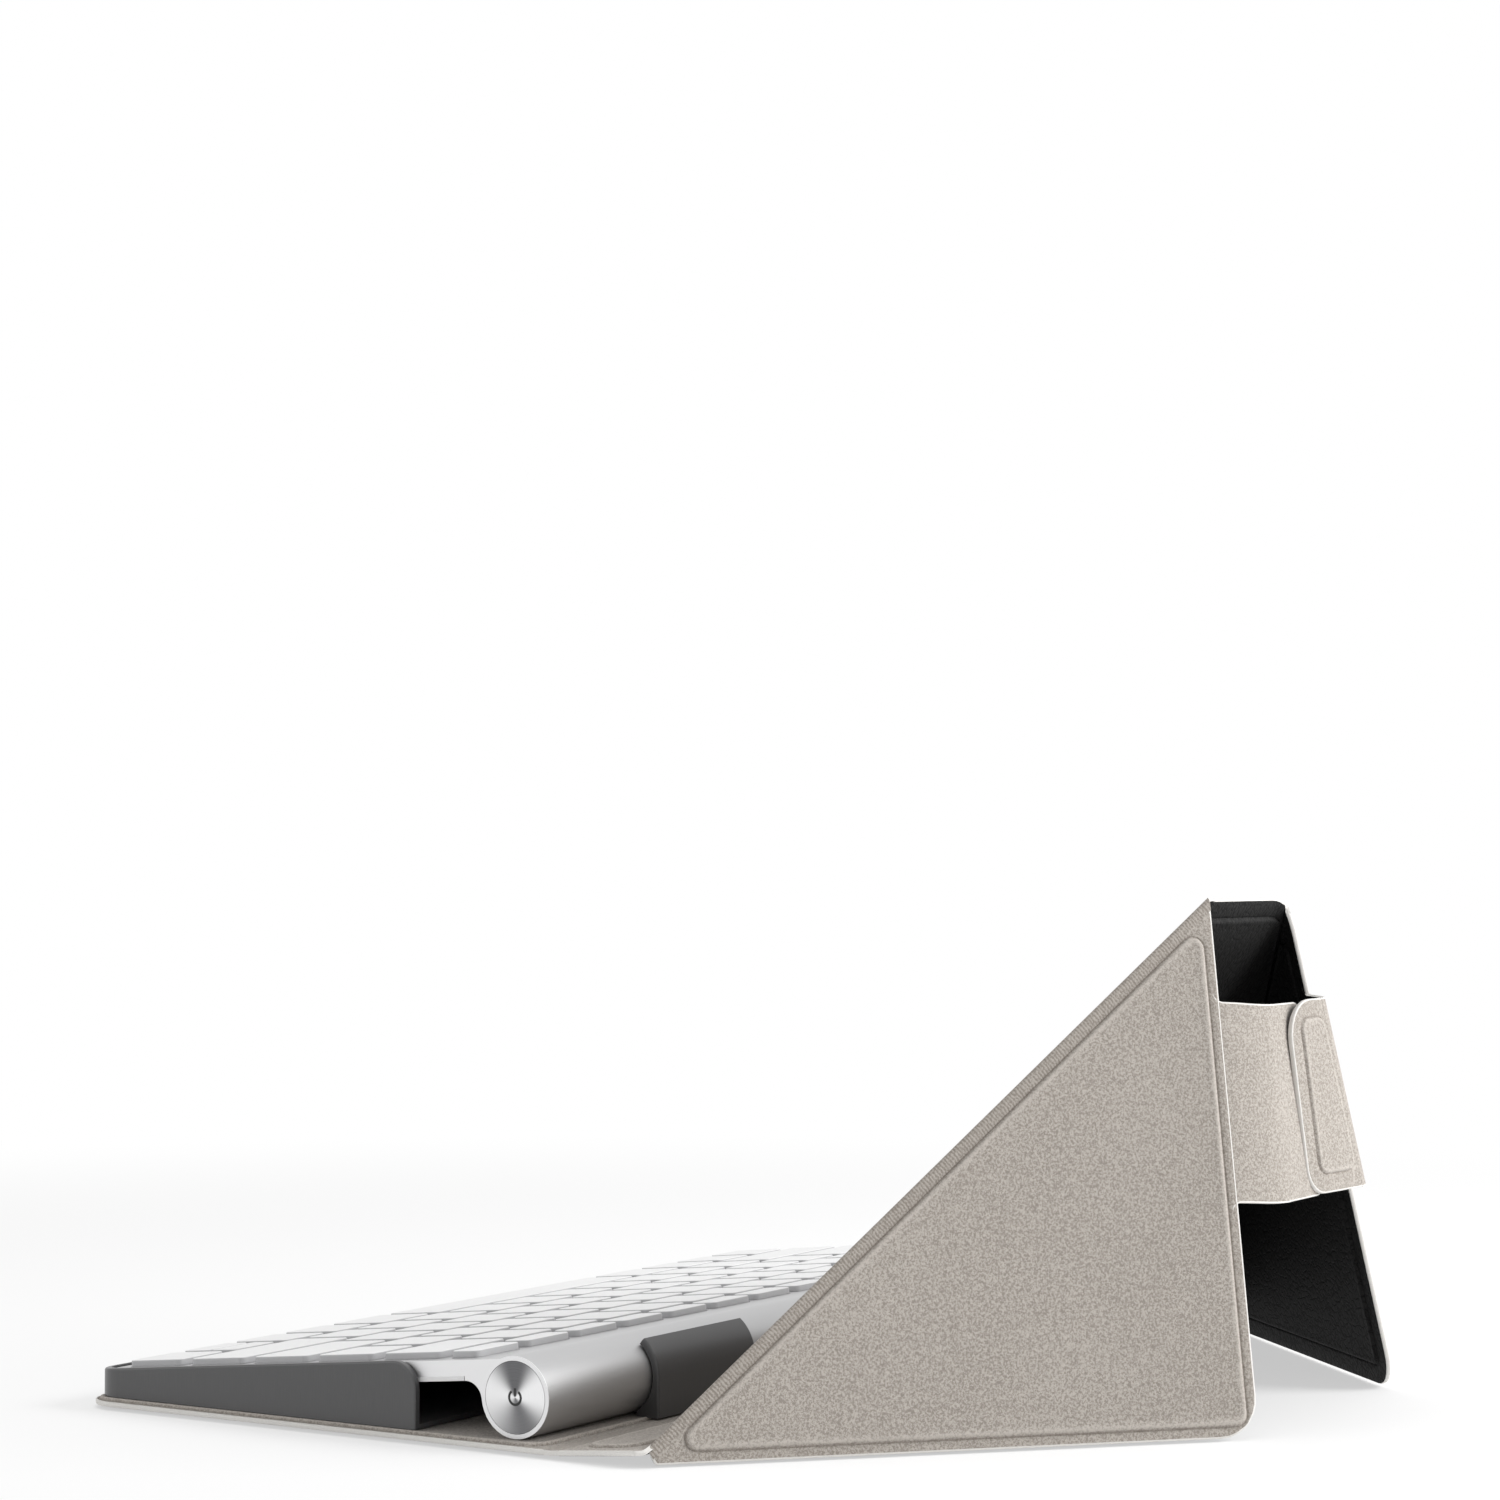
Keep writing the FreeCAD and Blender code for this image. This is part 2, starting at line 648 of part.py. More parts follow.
def cover_pieces():
    pieces = {}
    base_skin, base_board, base_lining, base_plates = base_sheet()
    pieces["base_skin"] = placed(base_skin, base_place)
    pieces["base_board"] = placed(base_board, base_place)
    pieces["base_lining"] = placed(base_lining, base_place)
    pieces["base_hold_plates"] = placed(base_plates, base_place)
    toward_front = V(0, -1, 0)
    spine_fold = fold_strip(V(-half_width, base_rear, 0), V(half_width, base_rear, 0), toward_front,
                            crease_end_gap, crease_end_gap)
    pieces["spine_fold_strip"] = placed(spine_fold, base_place)

    for name, shape in zip(("skin", "board", "lining"), spine_sheet()):
        pieces["spine_" + name] = placed(shape, spine_place)
    cover_y = base_rear + spine_length
    cover_fold = fold_strip(V(-wing_low.x, cover_y, 0), V(wing_low.x, cover_y, 0), toward_front,
                            crease_end_gap + wing_fold_inset, crease_end_gap + wing_fold_inset)
    pieces["stand_fold_strip"] = placed(cover_fold, spine_place)

    for name, shape in zip(("skin", "board", "lining"), stand_sheet()):
        pieces["stand_" + name] = placed(shape, cover_place)
    toward_stand = V(-wing_line.y, wing_line.x, 0)
    wing_fold = fold_strip(wing_low, wing_high, toward_stand, wing_crease_low_gap, wing_crease_high_gap)
    tab_near = tab_centre - tab_width / 2
    tab_far = tab_centre + tab_width / 2
    tab_fold = fold_strip(V(tab_near, tab_axis, 0), V(tab_far, tab_axis, 0), toward_front, 0, 0)
    flap_fold = fold_strip(V(tab_near, flap_axis, 0), V(tab_far, flap_axis, 0), toward_front, 0, 0)
    wing = wing_sheet()
    neck = neck_sheet()
    flap = flap_sheet()
    sides = [("right", right_wing_place, right_neck_place, right_flap_place, lambda shape: shape),
             ("left", left_wing_place, left_neck_place, left_flap_place, mirrored)]
    for side, wing_place, neck_place, flap_place, sided in sides:
        pieces[side + "_wing_fold_strip"] = placed(sided(wing_fold), cover_place)
        for name, shape in zip(("skin", "board", "lining"), wing):
            pieces[side + "_wing_" + name] = placed(sided(shape), wing_place)
        pieces[side + "_tab_fold_strip"] = placed(sided(tab_fold), wing_place)
        for name, shape in zip(("skin", "lining"), neck):
            pieces[side + "_neck_" + name] = placed(sided(shape), neck_place)
        pieces[side + "_flap_fold_strip"] = placed(sided(flap_fold), neck_place)
        for name, shape in zip(("skin", "magnet", "lining"), flap):
            pieces[side + "_flap_" + name] = placed(sided(shape), flap_place)
    return pieces


nodes = cover_pieces()
nodes["tray_shell"] = tray_shell()
nodes["tray_adhesive"] = tray_adhesive()
nodes["tube_clips"] = tube_clips()
nodes.update(keyboard_pieces())

os.makedirs("parts", exist_ok=True)
for name, shape in nodes.items():
    shape.exportStep("parts/" + name + ".step")

print("nodes", len(nodes))
print("case width", round(case_width, 2), "base depth", round(base_depth, 2))
print("spine", round(spine_length, 2), "cover depth", round(cover_depth, 2), "neck", round(neck_length, 2))
print("stand angle", round(stand_angle, 2), "deck slope", round(deck_slope, 2))
print("tab turn", round(tab_turn, 2), "flap lean", round(flap_lean, 3))
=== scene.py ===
import json
import math
import bmesh
import bpy
from mathutils import Matrix, Vector
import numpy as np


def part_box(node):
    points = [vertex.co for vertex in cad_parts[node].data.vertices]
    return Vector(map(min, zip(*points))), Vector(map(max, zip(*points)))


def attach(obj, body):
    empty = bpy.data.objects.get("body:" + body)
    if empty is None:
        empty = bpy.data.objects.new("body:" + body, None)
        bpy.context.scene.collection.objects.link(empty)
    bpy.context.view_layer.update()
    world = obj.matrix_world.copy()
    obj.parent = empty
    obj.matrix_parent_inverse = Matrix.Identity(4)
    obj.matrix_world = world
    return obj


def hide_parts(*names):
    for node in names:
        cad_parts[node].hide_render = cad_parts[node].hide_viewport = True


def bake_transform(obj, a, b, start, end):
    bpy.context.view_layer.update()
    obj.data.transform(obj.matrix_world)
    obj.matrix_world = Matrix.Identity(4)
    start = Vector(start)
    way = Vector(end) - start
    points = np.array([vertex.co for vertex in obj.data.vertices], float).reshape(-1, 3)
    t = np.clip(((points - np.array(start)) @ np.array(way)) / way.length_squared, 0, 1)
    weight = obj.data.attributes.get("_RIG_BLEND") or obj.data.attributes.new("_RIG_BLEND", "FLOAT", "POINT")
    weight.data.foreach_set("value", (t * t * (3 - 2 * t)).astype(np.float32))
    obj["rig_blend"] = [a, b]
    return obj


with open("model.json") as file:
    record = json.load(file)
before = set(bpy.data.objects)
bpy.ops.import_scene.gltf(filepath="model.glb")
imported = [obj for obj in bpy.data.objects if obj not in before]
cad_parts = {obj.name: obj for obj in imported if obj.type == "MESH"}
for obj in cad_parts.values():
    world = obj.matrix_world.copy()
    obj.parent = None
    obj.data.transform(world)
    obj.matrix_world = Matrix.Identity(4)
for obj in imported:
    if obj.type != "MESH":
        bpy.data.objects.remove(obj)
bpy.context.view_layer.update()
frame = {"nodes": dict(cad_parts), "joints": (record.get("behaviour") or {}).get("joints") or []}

mm = 0.001
xAxis, yAxis, zAxis = Vector((1, 0, 0)), Vector((0, 1, 0)), Vector((0, 0, 1))
sides = {"right": 1, "left": -1}
smoothAngle = math.radians(50)


# a socket that shader sums can be written with
class Signal:
    def __init__(self, finish, socket):
        self.finish = finish
        self.socket = socket

    def calc(self, operation, other=0.0, swapped=False):
        pair = {0: other, 1: self} if swapped else {0: self, 1: other}
        return self.finish.node("ShaderNodeMath", {"operation": operation}, pair)

    def __add__(self, other):
        return self.calc("ADD", other)

    def __sub__(self, other):
        return self.calc("SUBTRACT", other)

    def __rsub__(self, other):
        return self.calc("SUBTRACT", other, True)

    def __mul__(self, other):
        return self.calc("MULTIPLY", other)

    def __pow__(self, other):
        return self.calc("POWER", other)

    def __rpow__(self, other):
        return self.calc("POWER", other, True)

    __radd__ = __add__
    __rmul__ = __mul__


class Finish:
    def __init__(self, tree):
        self.tree = tree
        tree.nodes.clear()

    # one node: its settings first, then the values or links of its sockets
    def node(self, kind, settings=None, inputs=None, output=0):
        made = self.tree.nodes.new(kind)
        for name, value in (settings or {}).items():
            setattr(made, name, value)
        for socket, value in (inputs or {}).items():
            self.feed(made.inputs[socket], value)
        return Signal(self, made.outputs[output]) if len(made.outputs) else made

    def feed(self, socket, value):
        if isinstance(value, Signal):
            self.tree.links.new(value.socket, socket)
        elif isinstance(value, tuple) and len(value) == 3 and socket.type == "RGBA":
            socket.default_value = (*value, 1)
        else:
            socket.default_value = value

    # object coordinates in millimetres, stretched and turned as asked
    def place(self, scale=(1, 1, 1), turn=(0, 0, 0), shift=(0, 0, 0)):
        return self.node("ShaderNodeMapping", {}, {
            "Vector": self.node("ShaderNodeTexCoord", output="Object"), "Rotation": turn, "Location": shift,
            "Scale": tuple(part / mm for part in scale)})

    def part(self, vector, axis):
        return self.node("ShaderNodeSeparateXYZ", {}, {0: vector}, axis)

    def mark(self, name):
        return self.node("ShaderNodeAttribute", {"attribute_name": name}, output="Fac")

    def noise(self, vector, scale, detail=2.0, rough=0.5, output=0):
        return self.node("ShaderNodeTexNoise", {}, {
            "Vector": vector, "Scale": scale, "Detail": detail, "Roughness": rough}, output)

    def cells(self, vector, scale):
        return self.node("ShaderNodeTexVoronoi", {"feature": "DISTANCE_TO_EDGE"}, {
            "Vector": vector, "Scale": scale})

    def spread(self, value, low, high, floor=0.0, ceiling=1.0):
        return self.node("ShaderNodeMapRange", {"interpolation_type": "SMOOTHSTEP"}, {
            "Value": value, "From Min": low, "From Max": high, "To Min": floor, "To Max": ceiling})

    def mix(self, share, first, second):
        return self.node("ShaderNodeMix", {"data_type": "RGBA"}, {0: share, 6: first, 7: second}, 2)

    def bump(self, height, strength, distance):
        self.set("Normal", self.node("ShaderNodeBump", {}, {
            "Height": height, "Strength": strength, "Distance": distance}))

    def set(self, socket, value):
        self.feed(self.shader.inputs[socket], value)


def startFinish(name, constants):
    material = bpy.data.materials.new(name)
    material.use_nodes = True
    finish = Finish(material.node_tree)
    finish.material = material
    finish.surface = finish.node("ShaderNodeBsdfPrincipled", {}, constants)
    finish.shader = finish.surface.socket.node
    finish.end = finish.node("ShaderNodeOutputMaterial", {}, {0: finish.surface})
    return finish


leatherLook = {
    "crease": (0.005, 0.005, 0.0051), "pebble": (0.014, 0.0138, 0.0135), "fleck": (0.036, 0.035, 0.034),
    "stretch": (1.0, 0.62, 0.8), "turn": (0.3, 0.2, 0.75), "strayPerMm": 0.5, "stray": (1.5, 1.5, 1.5),
    "cellsPerMm": 0.62, "cellEdge": 0.16, "cellShare": 0.7, "wrinklesPerCell": 2.3, "wrinkleEdge": 0.2,
    "wrinkleShare": 0.3, "wobblePerMm": 0.55, "poresPerMm": 3.4, "poreHeight": 0.16, "pressedShade": 0.5,
    "wearPerMm": 0.045, "wearDetail": 3.0, "wearFrom": 0.35, "wearTo": 0.75, "fleckFrom": 0.42,
    "fleckTo": 0.66, "fleckLeast": 0.25, "fleckWorn": 0.5, "gloss": 0.12, "roughness": 0.56,
    "poreRoughness": 0.14, "cellRoughness": 0.06, "bump": 0.6, "depth": 0.00024}


# black leather: slanted pebbles with fine wrinkles, pale flecks and painted shade in the pressed lines
def makeLeather():
    look = leatherLook
    finish = startFinish("blackLeather", {"Specular IOR Level": look["gloss"]})
    flat = finish.place()
    wobble = finish.noise(flat, look["wobblePerMm"])
    stray = finish.noise(flat, look["strayPerMm"], output="Color")
    bent = finish.node("ShaderNodeVectorMath", {"operation": "MULTIPLY_ADD"}, {
        0: stray, 1: look["stray"], 2: finish.place(look["stretch"], look["turn"])})
    wrinklesPerMm = look["wrinklesPerCell"] * look["cellsPerMm"]
    pebble = finish.spread(finish.cells(bent, look["cellsPerMm"]), 0.0, look["cellEdge"])
    wrinkle = finish.spread(finish.cells(bent, wrinklesPerMm), 0.0, look["wrinkleEdge"])
    pores = finish.noise(flat, look["poresPerMm"])
    pressed = finish.spread(finish.mark("pressed"), 0.0, 1.0)
    wear = finish.noise(flat, look["wearPerMm"], look["wearDetail"])
    worn = finish.spread(wear, look["wearFrom"], look["wearTo"])
    grain = pebble * look["cellShare"] + wrinkle * look["wrinkleShare"]
    # painted shade in the pressed grooves
    body = finish.mix(grain - pressed * look["pressedShade"], look["crease"], look["pebble"])
    flecks = finish.spread(pores * wrinkle, look["fleckFrom"], look["fleckTo"])
    flecks = flecks * (look["fleckLeast"] + look["fleckWorn"] * worn)
    finish.set("Base Color", finish.mix(flecks, body, look["fleck"]))
    finish.set("Roughness", look["roughness"] + look["poreRoughness"] * pores - look["cellRoughness"] * pebble)
    height = pebble * look["cellShare"] + wrinkle * look["wrinkleShare"] * wobble + pores * look["poreHeight"]
    finish.bump(height, look["bump"], look["depth"])
    return finish.material


feltLook = {
    "deep": (0.29, 0.26, 0.23), "tip": (0.522, 0.483, 0.441), "shade": (0.24, 0.21, 0.182),
    "leftStretch": (1.0, 0.5, 0.75), "leftTurn": (0.4, 0.2, 0.6),
    "rightStretch": (0.5, 1.0, 0.75), "rightTurn": (0.1, 0.5, -0.4),
    "grainPerMm": 2.4, "coarseness": 0.6, "fuzzPerGrain": 1.7, "napPerMm": 0.03, "fibreShare": 0.33,
    "fuzzShare": 0.34, "ribShare": 0.06, "napShare": 0.04, "toneFrom": 0.44, "toneTo": 0.6, "toneShare": 0.88,
    "ridgeHighlight": 0.5, "grooveShade": 0.5, "foldShade": 0.22, "ribWidth": 0.8, "ribHeight": 0.17,
    "strayPerMm": 0.5, "ribStray": 6.0, "gloss": 0.15, "sheen": 0.15, "sheenRoughness": 0.45,
    "roughness": 0.86, "fuzzRoughness": 0.12, "bump": 0.42, "depth": 0.00022}


# taupe felt: short crossed fibres and ribs beside the folds, with painted shade in the pressed grooves and on
# the strips beside the folds, and a painted highlight on the ridges beside the grooves
def makeFelt():
    look = feltLook
    finish = startFinish("taupeFelt", {
        "Specular IOR Level": look["gloss"], "Sheen Weight": look["sheen"],
        "Sheen Roughness": look["sheenRoughness"]})
    flat = finish.place()
    leftLie = finish.place(look["leftStretch"], look["leftTurn"])
    rightLie = finish.place(look["rightStretch"], look["rightTurn"])
    leftFibre = finish.noise(leftLie, look["grainPerMm"], rough=look["coarseness"])
    rightFibre = finish.noise(rightLie, look["grainPerMm"], rough=look["coarseness"])
    fuzz = finish.noise(flat, look["fuzzPerGrain"] * look["grainPerMm"], rough=look["coarseness"])
    nap = finish.noise(flat, look["napPerMm"])
    stray = finish.noise(flat, look["strayPerMm"])
    phase = finish.mark("ribRun") * (2 * math.pi / look["ribWidth"]) + stray * look["ribStray"]
    ribbed = finish.mark("ribbed")
    rib = phase.calc("SINE") * ribbed
    # painted shade in the pressed grooves and painted highlight on the ridges beside them
    pressed = finish.mark("pressed")
    paintedGrooveShade = finish.spread(pressed, 0.0, 1.0)
    paintedRidgeHighlight = finish.spread(pressed, 0.0, -1.0)
    grain = leftFibre * look["fibreShare"] + rightFibre * look["fibreShare"] + fuzz * look["fuzzShare"]
    grain = grain + rib * look["ribShare"] + nap * look["napShare"]
    tone = finish.spread(grain, look["toneFrom"], look["toneTo"])
    body = finish.mix(tone * look["toneShare"] + paintedRidgeHighlight * look["ridgeHighlight"], look["deep"], look["tip"])
    # painted shade in the grooves and on the ribbed strips beside the folds
    shaded = paintedGrooveShade * look["grooveShade"] + ribbed * look["foldShade"]
    finish.set("Base Color", finish.mix(shaded, body, look["shade"]))
    finish.set("Roughness", look["roughness"] + look["fuzzRoughness"] * fuzz)
    finish.bump(grain + rib * look["ribHeight"], look["bump"], look["depth"])
    return finish.material


cutEdgeLook = {"dark": (0.68, 0.66, 0.63), "light": (0.86, 0.845, 0.815), "stretch": (1.0, 1.0, 3.0),
               "fibresPerMm": 2.2, "detail": 3.0, "gloss": 0.2, "roughness": 0.7, "fibreRoughness": 0.2,
               "bump": 0.3, "depth": 0.0001}


# the pale cut edge of the sheet
def makeCutEdge():
    look = cutEdgeLook
    finish = startFinish("paleCutEdge", {"Specular IOR Level": look["gloss"]})
    fibre = finish.noise(finish.place(look["stretch"]), look["fibresPerMm"], look["detail"])
    finish.set("Base Color", finish.mix(fibre, look["dark"], look["light"]))
    finish.set("Roughness", look["roughness"] + look["fibreRoughness"] * fibre)
    finish.bump(fibre, look["bump"], look["depth"])
    return finish.material


moulded = {"constants": {"Specular IOR Level": 0.5}, "grainPerMm": 1.6, "detail": 3.0, "coarseness": 0.55,
           "cloudPerMm": 0.03, "grainShare": 0.7, "cloudShare": 0.3, "grainRoughness": 0.12, "depth": 0.00006}
metal = {"constants": {"Metallic": 1.0}, "grainPerMm": 2.4, "detail": 3.0, "coarseness": 0.55,
         "cloudPerMm": 0.02, "grainShare": 0.6, "cloudShare": 0.4, "grainRoughness": 0.14, "depth": 0.00003}

# each plain finish: its kind, dark and light colour, roughness, how its grain is stretched, and its bump
plainLooks = {
    "trayPlastic": (moulded, (0.055, 0.055, 0.056), (0.088, 0.088, 0.09), 0.3, (3, 3, 0.12), 0.12),
    "bottomPlastic": (moulded, (0.72, 0.72, 0.72), (0.82, 0.82, 0.82), 0.45, (2, 2, 2), 0.08),
    "deckMetal": (metal, (0.42, 0.42, 0.424), (0.52, 0.52, 0.524), 0.42, (0.1, 3, 3), 0.08),
    "symbolBlack": (moulded, (0.008, 0.008, 0.008), (0.016, 0.016, 0.016), 0.5, (4, 4, 4), 0.05),
    "boardFill": (moulded, (0.2, 0.17, 0.14), (0.32, 0.28, 0.23), 0.85, (0.4, 3, 3), 0.3),
    "steelPlate": (metal, (0.4, 0.4, 0.41), (0.56, 0.56, 0.57), 0.34, (0.2, 4, 4), 0.1),
    "adhesiveFilm": (moulded, (0.5, 0.48, 0.42), (0.62, 0.6, 0.54), 0.55, (1, 1, 1), 0.1),
    "membraneRubber": (moulded, (0.1, 0.1, 0.11), (0.16, 0.16, 0.17), 0.7, (2, 2, 2), 0.15),
    "cellCasing": (moulded, (0.04, 0.05, 0.07), (0.07, 0.08, 0.11), 0.3, (0.2, 2, 2), 0.04),
    "brassContact": (metal, (0.55, 0.4, 0.16), (0.72, 0.55, 0.26), 0.3, (2, 2, 2), 0.08),
    "circuitBoard": (moulded, (0.01, 0.06, 0.03), (0.02, 0.11, 0.05), 0.45, (1, 1, 1), 0.15),
    "lightLens": (moulded, (0.45, 0.55, 0.45), (0.58, 0.68, 0.58), 0.25, (2, 2, 2), 0.03),
}
# colour of the painted highlight on the deck's end faces, and how far in from the ends it reaches
deckEnds = {"colour": (0.66, 0.66, 0.665), "depth": 0.3}


def makePlain(name, kind, dark, light, roughness, stretch, bump):
    finish = startFinish(name, kind["constants"])
    grain = finish.noise(finish.place(stretch), kind["grainPerMm"], kind["detail"], kind["coarseness"])
    cloud = finish.noise(finish.place(), kind["cloudPerMm"])
    body = finish.mix(grain * kind["grainShare"] + cloud * kind["cloudShare"], dark, light)
    finish.set("Base Color", paintedEndHighlight(finish, body) if name == "deckMetal" else body)
    finish.set("Roughness", roughness + kind["grainRoughness"] * grain)
    finish.bump(grain, bump, kind["depth"])
    return finish.material


# painted highlight: the deck's end faces are given a brighter colour than its blasted faces
def paintedEndHighlight(finish, body):
    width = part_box("keyboard_deck")[1].x / mm
    across = finish.part(finish.place(), "X").calc("ABSOLUTE")
    end = finish.spread(across, width - deckEnds["depth"], width - deckEnds["depth"] / 2)
    return finish.mix(end, body, deckEnds["colour"])


capLook = {"dark": (0.07, 0.07, 0.075), "light": (0.8, 0.8, 0.805), "sectors": 3.0, "sectorStart": 0.4,
           "sectorShare": 0.25, "broadSectors": 2.0, "broadStart": -0.25, "broadShare": 0.75, "edge": 0.9,
           "ringsPerMm": 9.0, "ringDetail": 2.0, "ringShare": 0.15, "roughness": 0.3, "ringRoughness": 0.15,
           "bump": 0.15, "depth": 0.00003}


# turned end of the tube: fine rings, and broad bright and dark sectors painted in as reflections of the turned
# metal
def makeTurnedCap():
    look = capLook
    finish = startFinish("turnedCap", {"Metallic": 1.0})
    low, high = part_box("power_button")
    centre = (low + high) / 2 / mm
    around = finish.place(shift=(0, -centre.y, -centre.z))
    y, z = finish.part(around, "Y"), finish.part(around, "Z")
    angle = z.calc("ARCTAN2", y)
    radius = (y * y + z * z) ** 0.5
    wave = (angle * look["sectors"] + look["sectorStart"]).calc("SINE")
    slow = (angle * look["broadSectors"] + look["broadStart"]).calc("COSINE")
    ringLine = finish.node("ShaderNodeTexNoise", {"noise_dimensions": "1D"}, {
        "W": radius, "Scale": look["ringsPerMm"], "Detail": look["ringDetail"]})
    # painted reflection: broad bright and dark sectors by angle round the cap
    paintedReflection = finish.spread(wave * look["sectorShare"] + slow * look["broadShare"], -look["edge"], look["edge"])
    tone = paintedReflection * (1 - look["ringShare"]) + ringLine * look["ringShare"]
    finish.set("Base Color", finish.mix(tone, look["dark"], look["light"]))
    finish.set("Roughness", look["roughness"] + look["ringRoughness"] * ringLine)
    finish.bump(ringLine, look["bump"], look["depth"])
    return finish.material


keyLook = {"top": (0.86, 0.86, 0.86), "side": (0.5, 0.5, 0.51), "flatTop": 0.9, "steepSide": 0.55,
           "grainPerMm": 3.0, "detail": 3.0, "sideShadeShare": 0.9, "grainShare": 0.1, "gloss": 0.45,
           "roughness": 0.42, "grainRoughness": 0.1, "bump": 0.06, "depth": 0.00006}


# white keys with painted shade on their steep sides, which are greyer than their tops
def makeKeys():
    look = keyLook
    finish = startFinish("keyPlastic", {"Specular IOR Level": look["gloss"]})
    facing = finish.part(finish.node("ShaderNodeNewGeometry", output="Normal"), "Z")
    # painted shade: the steep sides take the greyer colour
    paintedSideShade = finish.spread(facing, look["flatTop"], look["steepSide"])
    grain = finish.noise(finish.place(), look["grainPerMm"], look["detail"])
    tone = paintedSideShade * look["sideShadeShare"] + grain * look["grainShare"]
    finish.set("Base Color", finish.mix(tone, look["top"], look["side"]))
    finish.set("Roughness", look["roughness"] + look["grainRoughness"] * grain)
    finish.bump(grain, look["bump"], look["depth"])
    return finish.material


leather, felt, cutEdge = makeLeather(), makeFelt(), makeCutEdge()
finishes = {name: makePlain(name, *look) for name, look in plainLooks.items()}
finishes["turnedCap"] = makeTurnedCap()
finishes["keyPlastic"] = makeKeys()
print("finishes made:", len(finishes) + 3)

nodeFinish = {
    "tray_shell": "trayPlastic", "tube_clips": "trayPlastic", "tray_adhesive": "adhesiveFilm",
    "keyboard_deck": "deckMetal", "keyboard_bottom": "bottomPlastic", "key_membrane": "membraneRubber",
    "key_support_plate": "steelPlate", "battery_cells": "cellCasing", "battery_contacts": "brassContact",
    "battery_cap": "turnedCap", "power_button": "turnedCap", "keyboard_circuit": "circuitBoard",
    "status_light": "lightLens", "base_hold_plates": "steelPlate", "space_bar": "keyPlastic",
}
endingFinish = {"_keys": "keyPlastic", "_magnet": "steelPlate", "_board": "boardFill"}
for name, node in frame["nodes"].items():
    fitting = [finish for ending, finish in endingFinish.items() if name.endswith(ending)]
    if name in nodeFinish:
        fitting = [nodeFinish[name]]
    if fitting:
        node.data.materials.clear()
        node.data.materials.append(finishes[fitting[0]])
print("CAD nodes dressed")


# where each panel of the sheet lies, from the hinges
hinges = {joint["name"]: joint for joint in frame["joints"]}


def hinge(name):
    return Vector(hinges[name]["pos_m"]), Vector(hinges[name]["axis"]).normalized()


def about(point, axis, degrees):
    turn = Matrix.Rotation(math.radians(degrees), 4, axis)
    return Matrix.Translation(point) @ turn @ Matrix.Translation(-point)


sheetSize = {"halfWidth": 145.0, "middle": 1.2, "skin": 0.7, "lining": 0.5, "foldGap": 1.5, "spineTilt": 5.0,
             "wingInset": 3.0, "wingNotch": 1.5, "wingFold": 118.0, "shortEdge": 46.0}
tabSize = {"width": 46.0, "centre": 70.0, "flap": 24.0, "corner": 6.0, "foldCorner": 0.4, "rightTop": 2.0,
           "leftTop": 10.0, "magnetMargin": 4.5, "magnetCorner": 3.0, "magnetSwell": 0.8,
           "rightFeltSwell": 0.0, "leftFeltSwell": 0.8, "rightBend": 21.0, "leftBend": 3.0, "bendSteps": 18,
           "columns": 24, "rootFillet": 1.8, "rootLap": 1.4, "flapStart": 4.0, "flapLap": 0.3, "proud": 0.03,
           "curl": 2.0, "curlCuts": 12, "paleRim": 0.35}

spinePoint, _ = hinge("spine_fold")
standPoint, _ = hinge("stand_fold")
baseRear = spinePoint.y / mm
baseFront = -baseRear
spineLength = (standPoint - spinePoint).length / mm
standAngle = sheetSize["spineTilt"] - hinges["stand_fold"]["range_deg"][0]
basePlane = Matrix.Translation((0, 0, sheetSize["middle"] * mm))
spinePlane = about(spinePoint, xAxis, sheetSize["spineTilt"]) @ basePlane
standPlane = Matrix.Translation(standPoint) @ Matrix.Rotation(math.radians(standAngle), 4, "X")
wingPlane = {side: about(*hinge(side + "_wing_fold"), -sheetSize["wingFold"]) @ standPlane for side in sides}
wingTurn = wingPlane["right"].to_3x3()
tabTurn = math.degrees(math.atan2((wingTurn @ yAxis).y, (wingTurn @ zAxis).y))      # until the flap faces back
neckPlane, flapPlane = {}, {}
for side in sides:
    bend = tabSize[side + "Bend"]
    neckPlane[side] = about(*hinge(side + "_neck_fold"), -bend) @ wingPlane[side]
    flapPlane[side] = about(*hinge(side + "_flap_fold"), bend - tabTurn) @ neckPlane[side]
tabAxis = (wingPlane["right"].inverted() @ hinge("right_neck_fold")[0]).y / mm
flapAxis = (neckPlane["right"].inverted() @ hinge("right_flap_fold")[0]).y / mm
coverDepth = tabAxis - sheetSize["foldGap"]
flapTurn = flapPlane["right"].to_3x3()
flapLean = -(flapTurn @ yAxis).z / (flapTurn @ xAxis).z
print("panels placed, cover depth", round(coverDepth, 2), "mm, stand angle", round(standAngle, 2))


# outlines in the flat sheet, in millimetres
def unit(vector):
    return vector / vector.length


def inset(corners, distances):
    count = len(corners)
    moved = []
    for i in range(count):
        lines = []
        for edge in (i - 1, i):
            run = unit(corners[(edge + 1) % count] - corners[edge])
            lines.append((corners[edge] + Vector((-run.y, run.x)) * distances[edge], run))
        (first, firstRun), (second, secondRun) = lines
        between = second - first
        cross = firstRun.x * secondRun.y - firstRun.y * secondRun.x
        along = (between.x * secondRun.y - between.y * secondRun.x) / cross
        moved.append(first + firstRun * along)
    return moved


def roundedRing(corners, radii, steps):
    count = len(corners)
    points = []
    for i in range(count):
        corner = corners[i]
        back = unit(corners[i - 1] - corner)
        ahead = unit(corners[(i + 1) % count] - corner)
        half = back.angle(ahead) / 2
        centre = corner + unit(back + ahead) * radii[i] / math.sin(half)
        start = corner + back * radii[i] / math.tan(half) - centre
        sweep = math.pi - 2 * half
        for k in range(steps[i]):
            turn = sweep * k / (steps[i] - 1)
            points.append(centre + Matrix.Rotation(turn, 2) @ start)
    return points


def rectangle(left, right, low, high):
    return [Vector((left, low)), Vector((right, low)), Vector((right, high)), Vector((left, high))]


cornerSteps = 8
fourSteps = [cornerSteps] * 4
leastRadius = 0.3
